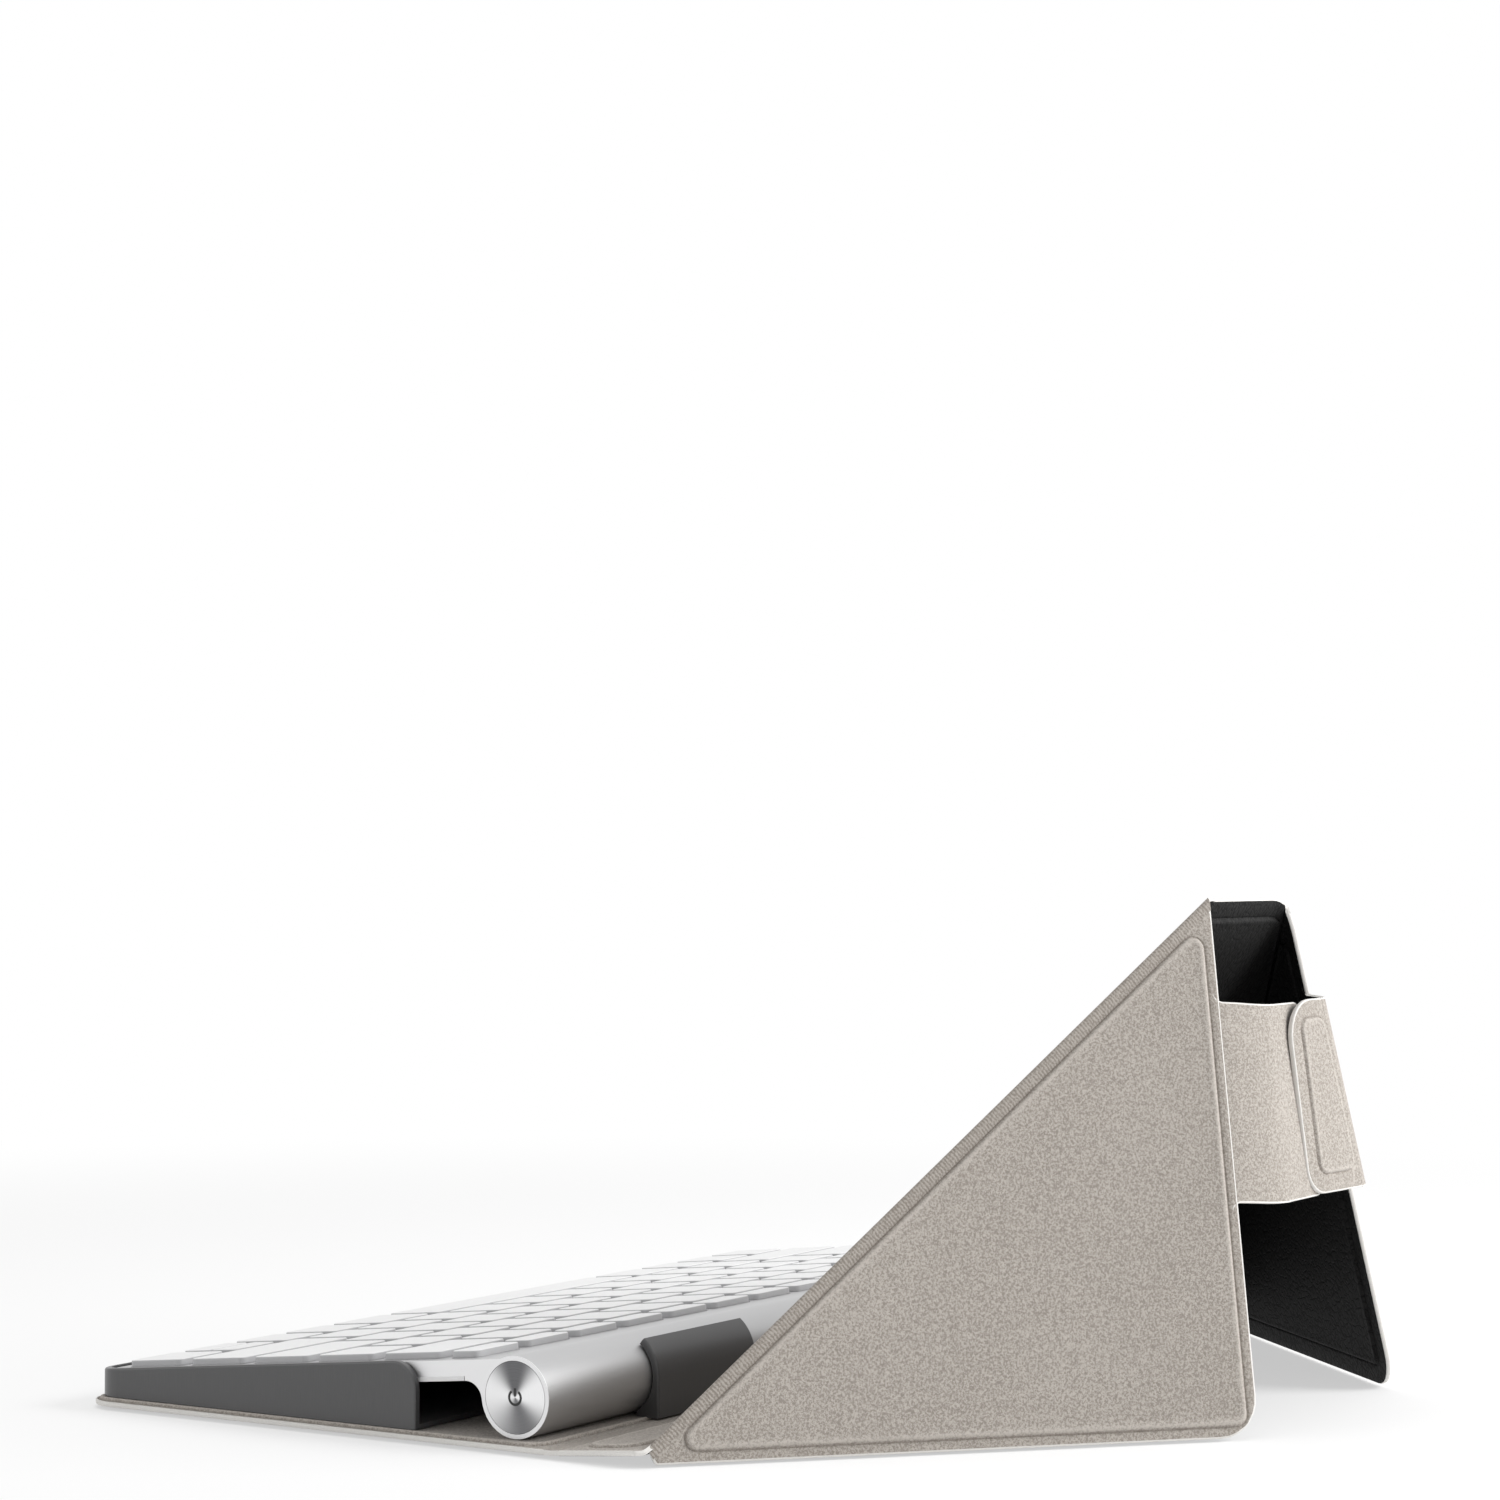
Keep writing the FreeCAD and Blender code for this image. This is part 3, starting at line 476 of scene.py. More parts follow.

# across the edge of a board: how far in, how high, and how much painted shade its colour gets there, negative
# for a painted highlight
boardEdge = [(-0.9, 0.0, 0.0), (-0.55, -0.05, 0.1), (-0.3, -0.22, 1.0), (-0.05, -0.05, 0.5), (0.15, 0.35, -0.5),
             (0.4, 0.6, -1.0), (0.8, 0.66, -0.8), (1.3, 0.58, -0.3), (2.0, 0.5, 0.0)]
rimEdge = [(0.0, 0.0), (0.0, 0.6), (0.13, 0.92), (0.38, 1.0)]       # how far in, and share of the thickness
ribRings = len(rimEdge) + 3     # the ribs end inside the pressed line


# a thin layer over a board: rounded rim, flat margin, pressed line and raised middle
def layerRings(panel, layer, thickness):
    corners, radii = panel["outline"], panel["radii"]
    core, widths = panel[layer]
    rings = []
    for step, height in rimEdge:
        ring = roundedRing(inset(corners, [step] * len(corners)),
                           [max(radius - step, leastRadius) for radius in radii], fourSteps)
        rings.append((ring, thickness * height, 0.0))
    shift = panel.get("coreShift", 0)
    swell = panel.get(layer + "Swell", panel["swell"])
    for step, height, pressed in boardEdge:
        ring = roundedRing(inset(core, [step * width for width in widths]),
                           [max(panel["coreRadius"] - step, leastRadius)] * len(core), panel["coreSteps"])
        rings.append((ring[shift:] + ring[:shift], thickness + height * swell, pressed * swell))
    return rings


def startPiece(name, count):
    bpy.ops.object.select_all(action="DESELECT")
    bpy.ops.mesh.primitive_circle_add(vertices=count, radius=1, fill_type="NGON")
    piece = bpy.context.object
    piece.name = name
    piece.data.name = name
    return piece


# grow a panel ring by ring: extrude the top face, then move its points to the next ring
def growPanel(name, panel, rings, facing, finish):
    piece = startPiece(name, len(rings[0][0]))
    piece.data.materials.append(finish)
    piece.data.materials.append(cutEdge)
    bpy.ops.object.mode_set(mode="EDIT")
    bpy.ops.mesh.select_mode(type="FACE")
    bpy.ops.mesh.select_all(action="SELECT")
    mesh = bmesh.from_edit_mesh(piece.data)
    for mark in ("pressed", "ribbed", "ribRun"):
        mesh.verts.layers.float.new(mark)
    paleRings = 3 if finish == felt else 2      # how much of the rim shows the cut edge
    for number, (ring, height, pressed) in enumerate(rings):
        if number:
            bpy.ops.mesh.extrude_region_move()
        mesh = bmesh.from_edit_mesh(piece.data)
        top = next(face for face in mesh.faces if face.select)
        verts = list(top.verts)
        if number:      # start at the same corner and run the same way as the ring before
            first = min(range(len(verts)), key=lambda i: (verts[i].co - before).length)
            verts = verts[first:] + verts[:first]
            if (verts[1].co - second).length > (verts[-1].co - second).length:
                verts = [verts[0]] + verts[:0:-1]
        layers = mesh.verts.layers.float
        for k, (vert, point) in enumerate(zip(verts, ring)):
            vert.co = (point.x, point.y, height * facing)
            # the mask of painted shade and painted highlight that the finishes read
            vert[layers["pressed"]] = pressed
            vert[layers["ribbed"]] = float(number < ribRings and k in panel.get("ribEnds", ()))
            vert[layers["ribRun"]] = point.y * foldRun.y - abs(point.x) * abs(foldRun.x)
        before, second = verts[0].co.copy(), verts[1].co.copy()
        for k, vert in enumerate(verts if number else []):
            side = next(face for face in vert.link_faces if face != top and verts[k - 1] in face.verts)
            side.material_index = int(number <= paleRings and onFreeEdge(panel, k - 1))
        top.material_index = 0
        bmesh.update_edit_mesh(piece.data)
    bpy.ops.mesh.select_all(action="SELECT")
    bpy.ops.mesh.normals_make_consistent(inside=False)
    bpy.ops.object.mode_set(mode="OBJECT")
    return piece


# is the rim between points k and k + 1 cut, and not folded on to the next panel
def onFreeEdge(panel, k):
    corner, step = divmod(k % (4 * cornerSteps), cornerSteps)
    free = panel["free"]
    return free[corner] if step == cornerSteps - 1 else free[corner] or free[corner - 1]


def settle(piece, plane):
    piece.data.transform(plane @ Matrix.Scale(mm, 4))
    piece.data.update()
    bpy.ops.object.select_all(action="DESELECT")
    piece.select_set(True)
    bpy.context.view_layer.objects.active = piece
    bpy.ops.object.shade_smooth_by_angle(angle=smoothAngle)


panelPieces = {}


def makePanel(panel, plane, body):
    layers = [("leather", "skin", -1, leather, "leather_skin"), ("felt", "lining", 1, felt, "felt_lining")]
    for title, node, facing, finish, slot in layers:
        rings = layerRings(panel, title, sheetSize[node])
        piece = growPanel(panel["name"] + "_" + title, panel, rings, facing, finish)
        if "shape" in panel:
            panel["shape"](piece)
        settle(piece, plane)
        if "roll" in panel:
            rollCorner(piece)
        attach(piece, body)
        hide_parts(panel["name"] + "_" + node, *panel.get("inside", []))
        panelPieces[panel["name"], title] = (piece, rings[0][0])


half = sheetSize["halfWidth"]
gap = sheetSize["foldGap"]
foldLow = Vector((half - sheetSize["wingInset"], 0))
foldHigh = Vector((sheetSize["shortEdge"] / 2, coverDepth))
foldRun = unit(foldHigh - foldLow)

# how far the pressed lines lie from cut edges, fold lines and the edges of fold strips, on each face
lines = {"feltCut": 2.7, "feltFold": 2.8, "feltCross": 4.7, "feltBase": 1.8, "feltStrip": 3.2, "feltSpine": 5.0,
         "leatherCut": 5.2, "leatherFold": 2.7, "leatherStrip": 1.2}
besideFold = 0.5        # a pressed line beside a fold is half as wide
closeLine = 0.8         # and one close to a cut edge a little narrower
cornerSize = {"cover": 9.0, "cut": 0.8, "fold": 0.3, "baseLine": 5.0, "standLine": 2.6}


def margins(*edges):
    return [lines[edge] for edge in edges]


def edgeEnds(*edges):       # the points of a ring at both ends of these edges
    return [(cornerSteps * (edge + 1) + step) % (4 * cornerSteps) for edge in edges for step in (-1, 0)]


baseOutline = rectangle(-half, half, baseFront, baseRear - gap)
basePanel = {
    "name": "base", "outline": baseOutline, "free": [True, True, False, True],
    "radii": [cornerSize["cover"]] * 2 + [cornerSize["cut"]] * 2,
    "felt": (inset(baseOutline, margins("feltBase", "feltBase", "feltStrip", "feltBase")), [closeLine] * 4),
    "leather": (inset(baseOutline, margins("leatherCut", "leatherCut", "leatherStrip", "leatherCut")),
                [1, 1, besideFold, 1]),
    "coreRadius": cornerSize["baseLine"], "coreSteps": fourSteps, "swell": 1.0}
spineOutline = rectangle(-half, half, baseRear + gap, baseRear + spineLength - gap)
spinePanel = {
    "name": "spine", "outline": spineOutline, "free": [False, True, False, True],
    "radii": [cornerSize["fold"]] * 4,
    "felt": (inset(spineOutline, margins("feltStrip", "feltSpine") * 2), [1] * 4),
    "leather": (inset(spineOutline, margins("leatherStrip", "leatherCut") * 2), [besideFold, 1] * 2),
    "coreRadius": cornerSize["baseLine"], "coreSteps": fourSteps, "swell": 1.0}
trapezoid = [Vector((-foldLow.x, 0)), foldLow, foldHigh, Vector((-foldHigh.x, coverDepth))]
standPanel = {
    "name": "stand", "outline": inset(trapezoid, [gap, gap, 0, gap]), "free": [False, False, True, False],
    "radii": [cornerSize["fold"]] * 4, "ribEnds": edgeEnds(1, 3),
    "felt": (inset(trapezoid, margins("feltCross", "feltFold", "feltCut", "feltFold")), [1] * 4),
    "leather": (inset(trapezoid, margins("leatherFold", "leatherFold", "leatherCut", "leatherFold")),
                [besideFold, besideFold, 1, besideFold]),
    "coreRadius": cornerSize["standLine"], "coreSteps": fourSteps, "swell": 1.0}
wingTip = Vector((half, coverDepth))
quadrangle = [Vector((half, sheetSize["wingNotch"])), wingTip, foldHigh, foldLow]
foot = foldLow - foldRun * (sheetSize["wingInset"] / -foldRun.x)
wingCore = [foot, wingTip, foldHigh]
wingPanel = {
    "outline": inset(quadrangle, [0, 0, gap, 0]), "free": [True, True, False, True],
    "radii": [cornerSize["cut"], cornerSize["cover"], cornerSize["fold"], cornerSize["fold"]],
    "felt": (inset(wingCore, margins("feltCut", "feltCut", "feltFold")), [1] * 3),
    "leather": (inset(wingCore, margins("leatherCut", "leatherCut", "leatherFold")), [1, 1, besideFold]),
    "coreRadius": cornerSize["standLine"], "coreSteps": [2 * cornerSteps, cornerSteps, cornerSteps],
    "coreShift": cornerSteps, "swell": 1.0, "ribEnds": edgeEnds(2)}


def backwards(items):       # per-edge values once the corners run the other way round
    return [items[(len(items) - 2 - i) % len(items)] for i in range(len(items))]


def mirrorPanel(panel):
    flipped = dict(panel)

    def flip(points):
        return [Vector((-point.x, point.y)) for point in reversed(points)]

    flipped["outline"] = flip(panel["outline"])
    for layer in ("felt", "leather"):
        flipped[layer] = (flip(panel[layer][0]), backwards(panel[layer][1]))
    flipped["free"] = backwards(panel["free"])
    flipped["radii"] = panel["radii"][::-1]
    flipped["coreSteps"] = panel["coreSteps"][::-1]
    flipped["coreShift"] = -panel.get("coreShift", 0)
    flipped["ribEnds"] = [4 * cornerSteps - 1 - k for k in panel.get("ribEnds", ())]
    return flipped


# the sheet rolls softly over the far top corner of the stand
softCorner = {"depth": 2.7, "reach": 7.5, "fade": 28.0, "cuts": (2.2, 3.2, 4.5, 6.0, 7.5),
              "levels": (2, 5, 9, 14, 20)}
foldLength = (foldHigh - foldLow).length
farSide = Vector((-foldRun.y, -foldRun.x, 0))        # from the stand across the left fold, in the flat sheet
farTop = Vector((-foldHigh.x, foldHigh.y, 0))


def cutBeside(inward):
    bpy.ops.object.mode_set(mode="EDIT")
    for cut in softCorner["cuts"]:
        bpy.ops.mesh.select_all(action="SELECT")
        bpy.ops.mesh.bisect(plane_co=farTop + inward * cut, plane_no=inward)
    for level in softCorner["levels"]:
        bpy.ops.mesh.select_all(action="SELECT")
        bpy.ops.mesh.bisect(plane_co=farTop - yAxis * level, plane_no=yAxis)
    bpy.ops.object.mode_set(mode="OBJECT")


def rollCorner(piece):
    size = softCorner
    top = standPlane @ (farTop * mm)
    down = unit(hinge("left_wing_fold")[0] - top)
    inward = unit(wingPlane["left"].to_3x3() @ farSide - standPlane.to_3x3() @ farSide)
    for vert in piece.data.vertices:
        away = (vert.co - top) / mm
        along = away.dot(down)
        near = max(1 - (away - down * along).length / size["reach"], 0) ** 2
        share = min(max(1 - along / size["fade"], 0), 1)
        vert.co += inward * size["depth"] * near * share * share * (3 - 2 * share) * mm
    piece.data.update()


standPanel["shape"] = lambda piece: cutBeside(-farSide)
standPanel["roll"] = True

makePanel(basePanel, basePlane, "base")
makePanel(spinePanel, spinePlane, "spine")
makePanel(standPanel, standPlane, "stand")
print("base, spine and stand panels made")


# folds: a leather strip tucked under the panels and a felt strip laid over them
foldSize = {"leather": 0.6, "leatherLap": 0.5, "leatherTuck": 0.06, "felt": 0.53, "feltLap": 0.45,
            "feltTuck": 0.03, "wall": 0.7, "arcSteps": 17, "alongSteps": 60, "halvings": 26, "endFacing": 0.3}


def stripGrid(name, sections, spans, along, columns, thickness, facing, finish, ribbed, rim=0.0):
    bpy.ops.object.select_all(action="DESELECT")
    bpy.ops.mesh.primitive_grid_add(x_subdivisions=columns, y_subdivisions=len(sections) - 1, size=1)
    piece = bpy.context.object
    piece.name = name
    piece.data.name = name
    piece.data.materials.append(finish)
    piece.data.materials.append(cutEdge)
    runs = piece.data.attributes.new("ribRun", "FLOAT", "POINT")
    ribs = piece.data.attributes.new("ribbed", "FLOAT", "POINT")
    for row, (section, (low, high)) in enumerate(zip(sections, spans)):
        for column in range(columns + 1):
            number = row * (columns + 1) + column
            run = low + (high - low) * column / columns
            if rim and column in (1, columns - 1):      # a narrow pale column at each end
                run = low + rim if column == 1 else high - rim
            piece.data.vertices[number].co = section + along * run * mm
            runs.data[number].value = run
            ribs.data[number].value = ribbed
    wall = piece.modifiers.new("wall", "SOLIDIFY")
    wall.thickness = thickness * mm
    wall.offset = -facing
    wall.material_offset_rim = 1
    bpy.ops.object.modifier_apply(modifier="wall")
    for face in piece.data.polygons:        # only the cut ends are pale
        if abs(face.normal.dot(along)) < foldSize["endFacing"]:
            face.material_index = 0
    endColumns = (0, columns - 1) if rim else ()
    for number in range(columns * (len(sections) - 1)):
        if number % columns in endColumns:
            piece.data.polygons[number].material_index = 1
    bpy.ops.object.shade_smooth_by_angle(angle=smoothAngle)
    return piece


# a point of a bent sheet: so far from the hinge, so high, so far round the bend
def bentPoint(turning, distance, height, share):
    point, axis, ahead, up, fold = turning
    local = (ahead * distance + up * height) * mm
    return point + Matrix.Rotation(math.radians(fold) * share, 3, axis) @ local


# fold a flat strip: each point turns as far round the hinge as its own blend will later undo
def foldRound(piece, turning, start, end):
    point, axis, fold = turning[0], turning[1], turning[4]
    span = end - start
    for vert in piece.data.vertices:
        arm = vert.co - point
        low, high = 0.0, 1.0
        for _ in range(foldSize["halvings"]):
            share = (low + high) / 2
            turned = point + Matrix.Rotation(math.radians(fold) * share, 3, axis) @ arm
            t = min(max((turned - start).dot(span) / span.length_squared, 0), 1)
            if t * t * (3 - 2 * t) > share:
                low = share
            else:
                high = share
        vert.co = turned
    bpy.ops.object.shade_smooth_by_angle(angle=smoothAngle)


def makeFold(title, turning, bodies, spanAt, node):
    size = foldSize
    made = {}
    across = [2 * k / (size["arcSteps"] - 1) - 1 for k in range(size["arcSteps"])]
    for layer, facing, finish in (("leather", -1, leather), ("felt", 1, felt)):
        height = size[layer] * facing
        reach = gap + size[layer + "Lap"]
        distances = [-reach] + [gap * x * abs(x) for x in across] + [reach]     # closest at the fold line
        sections = [bentPoint(turning, distance, height, 0) for distance in distances]
        start, end = bentPoint(turning, -gap, height, 0), bentPoint(turning, gap, height, 1)
        tuck = size[layer + "Tuck"]     # the ends sit just inside the panels' cut edges
        spans = [(low + tuck, high - tuck) for low, high in map(spanAt, distances)]
        piece = stripGrid(title + "_" + layer, sections, spans, turning[1],
                          size["alongSteps"], size["wall"], facing, finish, 1.0)
        foldRound(piece, turning, start, end)
        if title == "left_wing_fold":
            rollCorner(piece)
        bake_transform(piece, *bodies, start=start, end=end)
        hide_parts(node)
        made[layer] = piece
    return made


def turningAt(name, plane, ahead, fold):
    point, axis = hinge(name)
    turn = plane.to_3x3()
    return point, axis, unit(turn @ ahead), unit(turn @ zAxis), fold


# a wing's fold strip ends along the sheet's top edge, its foot and the wing's notch
edgeSlope = -foldRun.x / foldRun.y
notchRun = Vector((sheetSize["wingInset"], sheetSize["wingNotch"]))
notchSlope = foldRun.dot(notchRun) / (foldRun.y * notchRun.x - foldRun.x * notchRun.y)


def spineSpan(distance):
    return -half, half


def standSpan(distance):        # from the spine's full width to the narrower foot of the stand panel
    share = min(max((gap - distance) / (2 * gap), 0), 1)
    reach = half * share + (foldLow.x - edgeSlope * max(distance, 0)) * (1 - share)
    return -reach, reach


def wingSpan(distance):
    return max(-edgeSlope * distance, notchSlope * distance), foldLength - edgeSlope * distance


def mirrorSpan(low, high, sign):
    return (low, high) if sign > 0 else (-high, -low)


foldPieces = {}
spineTurning = turningAt("spine_fold", basePlane, yAxis, sheetSize["spineTilt"])
standTurning = turningAt("stand_fold", spinePlane, yAxis, standAngle - sheetSize["spineTilt"])
foldPieces["spine"] = makeFold("spine_fold", spineTurning, ("base", "spine"), spineSpan, "spine_fold_strip")
foldPieces["stand"] = makeFold("stand_fold", standTurning, ("spine", "stand"), standSpan, "stand_fold_strip")


def makeWingFold(side, sign):
    outward = Vector((sign * foldRun.y, -foldRun.x, 0))
    turning = turningAt(side + "_wing_fold", standPlane, outward, -sheetSize["wingFold"])
    foldPieces[side + "_wing"] = makeFold(
        side + "_wing_fold", turning, ("stand", side + "_wing"),
        lambda distance: mirrorSpan(*wingSpan(distance), -sign), side + "_wing_fold_strip")


for side, sign in sides.items():
    makeWingFold(side, sign)
print("folds made")

leftWing = mirrorPanel(wingPanel)
leftWing["shape"] = lambda piece: cutBeside(farSide)
leftWing["roll"] = True
for side, panel in (("right", wingPanel), ("left", leftWing)):
    panel["name"] = side + "_wing"
    makePanel(panel, wingPlane[side], side + "_wing")
print("wings made")


# closing tabs: a bent root, a bent neck and a flap with its pressed border
def rootSpread(distance):
    radius = tabSize["rootFillet"]
    if distance >= radius:
        return 0.0
    return radius - math.sqrt(radius ** 2 - (radius - distance) ** 2)


def bentStrip(name, turning, bodies, back, front, spansAt, layer):
    title, facing, finish, thickness = layer
    height = (thickness + tabSize["proud"]) * facing
    mitre = height * math.tan(math.radians(-turning[4]) / 2)
    first = bentPoint(turning, -back, height, 0)
    control = bentPoint(turning, mitre, height, 0)
    last = bentPoint(turning, front, height, 1)
    sections, spans = [], []
    for k in range(tabSize["bendSteps"] + 1):
        t = k / tabSize["bendSteps"]
        sections.append(first * (1 - t) ** 2 + control * 2 * t * (1 - t) + last * t ** 2)
        spans.append(spansAt(t))
    piece = stripGrid(name + "_" + title, sections, spans, turning[1], tabSize["columns"], thickness, facing,
                      finish, 0.0, tabSize["paleRim"] if title == "felt" else 0.0)
    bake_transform(piece, *bodies, start=first, end=last)
    return piece


neckLength = flapAxis - tabAxis
tabLow = tabSize["centre"] - tabSize["width"] / 2
tabHigh = tabSize["centre"] + tabSize["width"] / 2
flapLow, flapHigh = flapAxis + tabSize["flapStart"], flapAxis + tabSize["flap"]
tabLayers = [("leather", -1, leather, sheetSize["skin"]), ("felt", 1, felt, sheetSize["lining"])]


def makeNeck(side, sign):
    bend = tabSize[side + "Bend"]
    rootTurn = turningAt(side + "_neck_fold", wingPlane[side], yAxis, -bend)
    neckTurn = turningAt(side + "_flap_fold", neckPlane[side], yAxis, bend - tabTurn)
    rootBack, rootFront = gap + tabSize["rootLap"], neckLength / 2
    endBack, endFront = neckLength / 2, tabSize["flapStart"] + tabSize["flapLap"]

    def rootSpan(t):
        grown = rootSpread(t * rootBack + t * t * rootFront)
        return mirrorSpan(tabLow - grown, tabHigh + grown, sign)

    def endSpan(t):
        lean = flapLean * t * t * endFront
        return mirrorSpan(tabLow + lean, tabHigh + lean, sign)

    foldPieces[side + "_flap"] = {}
    for layer in tabLayers:
        title = layer[0]
        node = "skin" if title == "leather" else "lining"
        root = bentStrip(side + "_tab_root", rootTurn, (side + "_wing", side + "_neck"), rootBack, rootFront,
                         rootSpan, layer)
        neck = bentStrip(side + "_tab_neck", neckTurn, (side + "_neck", side + "_flap"), endBack, endFront,
                         endSpan, layer)
        foldPieces[side + "_flap"][title] = [root, neck]
        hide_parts(side + "_neck_" + node, side + "_tab_fold_strip")
        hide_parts(side + "_flap_fold_strip")
        for piece in (root, neck):
            "leather_skin" if title == "leather" else "felt_lining"


# the free end of the far flap bends a little towards the stand
def curlFlap(piece):
    length = flapHigh - flapLow
    bpy.ops.object.mode_set(mode="EDIT")
    for k in range(1, tabSize["curlCuts"]):
        bpy.ops.mesh.select_all(action="SELECT")
        bpy.ops.mesh.bisect(plane_co=yAxis * (flapLow + length * k / tabSize["curlCuts"]), plane_no=yAxis)
    bpy.ops.object.mode_set(mode="OBJECT")
    for vert in piece.data.vertices:
        vert.co.z -= tabSize["curl"] * max((vert.co.y - flapLow) / length, 0) ** 2


def makeFlap(side, sign):
    skew = flapLean * tabSize["width"] / 2
    runs = [(tabLow, tabSize["flapStart"]), (tabHigh, tabSize["flapStart"]),
            (tabHigh, tabSize["flap"] - skew), (tabLow, tabSize["flap"] + skew)]
    outline = [Vector((x + flapLean * run, flapAxis + run)) for x, run in runs]
    margin = tabSize["magnetMargin"]
    line = (inset(outline, [margin - (tabSize["flapStart"] - gap), margin, margin, margin]), [closeLine] * 4)
    flap = {"name": side + "_flap", "outline": outline, "free": [False, True, True, True],
            "radii": [tabSize["foldCorner"]] * 2 + [tabSize["corner"], tabSize[side + "Top"]],
            "felt": line, "leather": line, "coreRadius": tabSize["magnetCorner"], "coreSteps": fourSteps,
            "swell": tabSize["magnetSwell"], "feltSwell": tabSize[side + "FeltSwell"],
            "inside": [side + "_flap_magnet"]}
    if sign < 0:
        flap = mirrorPanel(flap)
        flap["shape"] = curlFlap
    makePanel(flap, flapPlane[side], side + "_flap")


for side, sign in sides.items():
    makeNeck(side, sign)
    makeFlap(side, sign)
print("tabs made")


# power symbol on the end of the tube
symbolSize = {"radius": 1.55, "stroke": 0.56, "thickness": 0.06, "points": 72, "gapDegrees": 66, "barTop": 2.05,
              "barLow": 0.35}


def makeSymbol():
    size = symbolSize
    low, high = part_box("power_button")
    centre = Vector((high.x / mm, (low.y + high.y) / 2 / mm, (low.z + high.z) / 2 / mm))
    inner, outer = size["radius"] - size["stroke"] / 2, size["radius"] + size["stroke"] / 2
    bpy.ops.object.select_all(action="DESELECT")
    bpy.ops.mesh.primitive_circle_add(vertices=size["points"], radius=inner)
    symbol = bpy.context.object
    bpy.ops.object.mode_set(mode="EDIT")
    bpy.ops.mesh.select_all(action="DESELECT")
    mesh = bmesh.from_edit_mesh(symbol.data)
    for vert in mesh.verts:
        turn = math.degrees(math.atan2(vert.co.x, vert.co.y))
        vert.select_set(abs(turn) < size["gapDegrees"] / 2)
    bmesh.update_edit_mesh(symbol.data)
    bpy.ops.mesh.delete(type="VERT")
    bpy.ops.mesh.select_all(action="SELECT")
    bpy.ops.mesh.extrude_edges_move()
    bpy.ops.transform.resize(value=(outer / inner, outer / inner, 1), center_override=(0, 0, 0))
    bpy.ops.mesh.primitive_grid_add(x_subdivisions=2, y_subdivisions=6, size=1)
    bpy.ops.transform.resize(value=(size["stroke"], size["barTop"] - size["barLow"], 1),
                             center_override=(0, 0, 0))
    bpy.ops.transform.translate(value=(0, (size["barTop"] + size["barLow"]) / 2, 0))
    bpy.ops.mesh.select_all(action="SELECT")
    bpy.ops.mesh.normals_make_consistent(inside=False)
    bpy.ops.object.mode_set(mode="OBJECT")
    wall = symbol.modifiers.new("wall", "SOLIDIFY")
    wall.thickness = size["thickness"]
    wall.offset = 0
    bpy.ops.object.modifier_apply(modifier="wall")
    symbol.name = "power_symbol"
    symbol.data.name = "power_symbol"
    symbol.data.materials.append(finishes["symbolBlack"])
    upright = Matrix(((0, 0, 1, 0), (1, 0, 0, 0), (0, 1, 0, 0), (0, 0, 0, 1)))      # facing along x
    symbol.data.transform(Matrix.Scale(mm, 4) @ Matrix.Translation(centre) @ upright)
    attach(symbol, "power_button")


makeSymbol()
print("power symbol made")


for (name, layer), (piece, ring) in panelPieces.items():
    other = "felt" if layer == "leather" else "leather"
    if name.endswith("_flap"):
        name + "_" + other
    else:
        strips = [foldPieces[name][layer]] if name in foldPieces else []
        name + "_board"


# floor, light and camera: each lamp has its place, its size and its power
studio = {"floor": (0.94, 0.94, 0.94), "floorSize": 40, "floorDrop": 0.0003, "floorRoughness": 0.8,
          "glow": 0.55, "fadeFrom": 0.3, "fadeTo": 0.75, "world": 0.4, "aim": (0, 0.08, 0.05),
          "lamps": {"key": ((-0.45, 1.05, 0.6), 0.75, 14.5), "front": ((1.05, -0.65, 0.5), 1.0, 3.4),
                    "top": ((-0.1, 0.0, 1.1), 1.2, 3.6)}}
view = {"place": (0.7465, 0.4901, 0.1266), "heading": 31.74, "pitch": 2.0, "lens": 81.49, "sensor": 36}
white = (1.0, 1.0, 1.0)


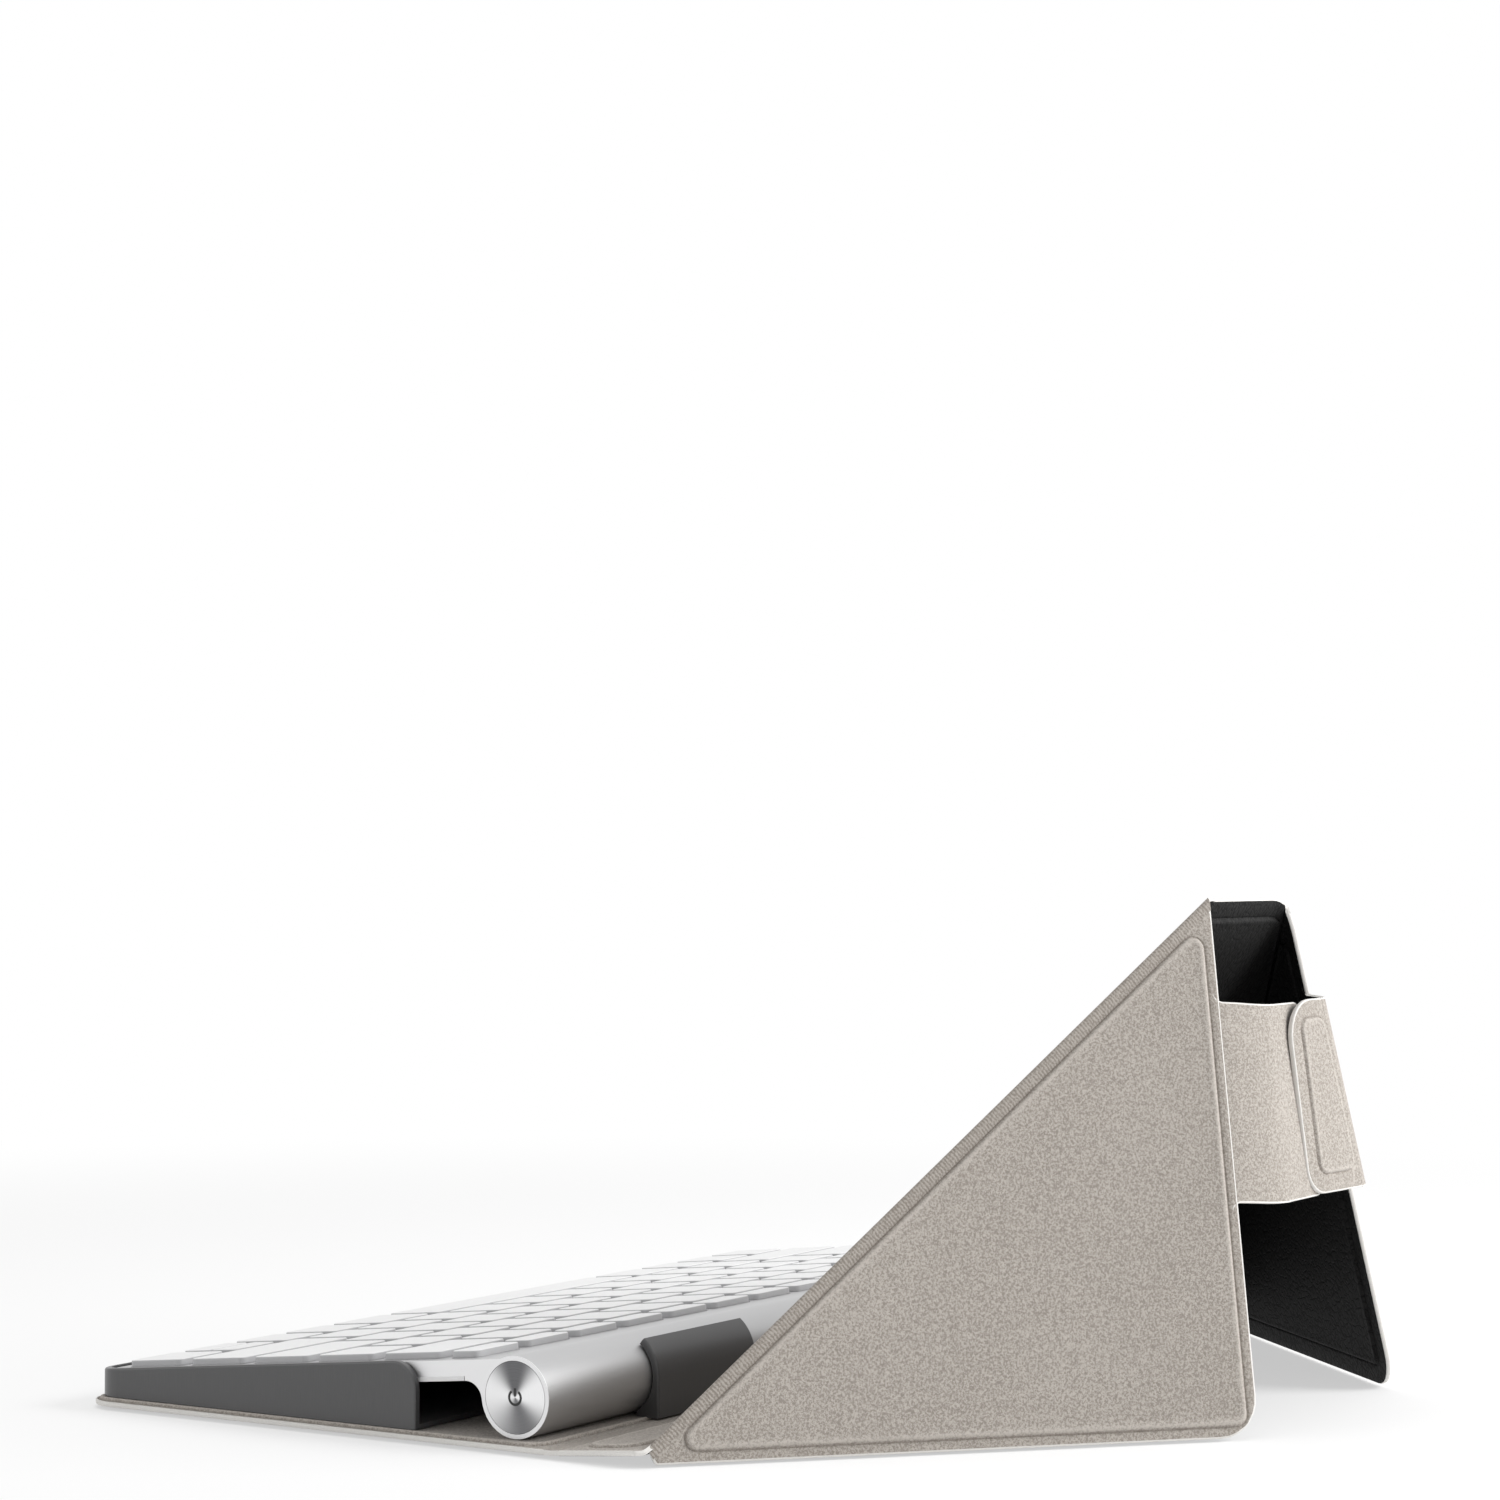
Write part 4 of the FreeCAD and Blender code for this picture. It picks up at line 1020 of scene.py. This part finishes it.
def seenDirectly(finish):
    seen = 0.0
    for ray in ("Is Camera Ray", "Is Glossy Ray", "Is Transmission Ray"):
        seen = finish.node("ShaderNodeLightPath", output=ray) + seen
    return seen.calc("MINIMUM", 1.0)


bpy.ops.object.select_all(action="DESELECT")
bpy.ops.mesh.primitive_plane_add(size=studio["floorSize"], location=(0, 0, -studio["floorDrop"]))
floor = bpy.context.object
floor.name = "floor"
ground = startFinish("paleFloor", {"Base Color": studio["floor"], "Roughness": studio["floorRoughness"]})
distance = ground.node("ShaderNodeVectorMath", {"operation": "LENGTH"}, {
    0: ground.node("ShaderNodeTexCoord", output="Object")}, "Value")
fade = ground.spread(distance, studio["fadeFrom"], studio["fadeTo"], studio["glow"], 1.0)   # white far away
glow = ground.node("ShaderNodeEmission", {}, {"Color": white})
ground.feed(ground.end.inputs[0], ground.node("ShaderNodeMixShader", {}, {
    0: fade * seenDirectly(ground), 1: ground.surface, 2: glow}))
floor.data.materials.append(ground.material)

world = bpy.data.worlds.new("studio")
bpy.context.scene.world = world
world.use_nodes = True
air = Finish(world.node_tree)
brightness = studio["world"] + seenDirectly(air) * (1 - studio["world"])
air.node("ShaderNodeOutputWorld", {}, {0: air.node("ShaderNodeBackground", {}, {
    "Color": white, "Strength": brightness})})

for title, (place, size, power) in studio["lamps"].items():
    bpy.ops.object.light_add(type="AREA", location=place)
    lamp = bpy.context.object
    lamp.name = title + "Light"
    lamp.data.shape = "DISK"
    lamp.data.size = size
    lamp.data.energy = power
    lamp.rotation_euler = (Vector(studio["aim"]) - Vector(place)).to_track_quat("-Z", "Y").to_euler()

heading, pitch = math.radians(view["heading"]), math.radians(view["pitch"])
gaze = Vector((-math.cos(heading) * math.cos(pitch), -math.sin(heading) * math.cos(pitch), math.sin(pitch)))
bpy.ops.object.camera_add(location=view["place"], rotation=gaze.to_track_quat("-Z", "Y").to_euler())
camera = bpy.context.object
camera.data.lens = view["lens"]
camera.data.sensor_width = view["sensor"]
bpy.context.scene.camera = camera
bpy.context.scene.view_settings.view_transform = "Standard"
print("studio and camera ready")
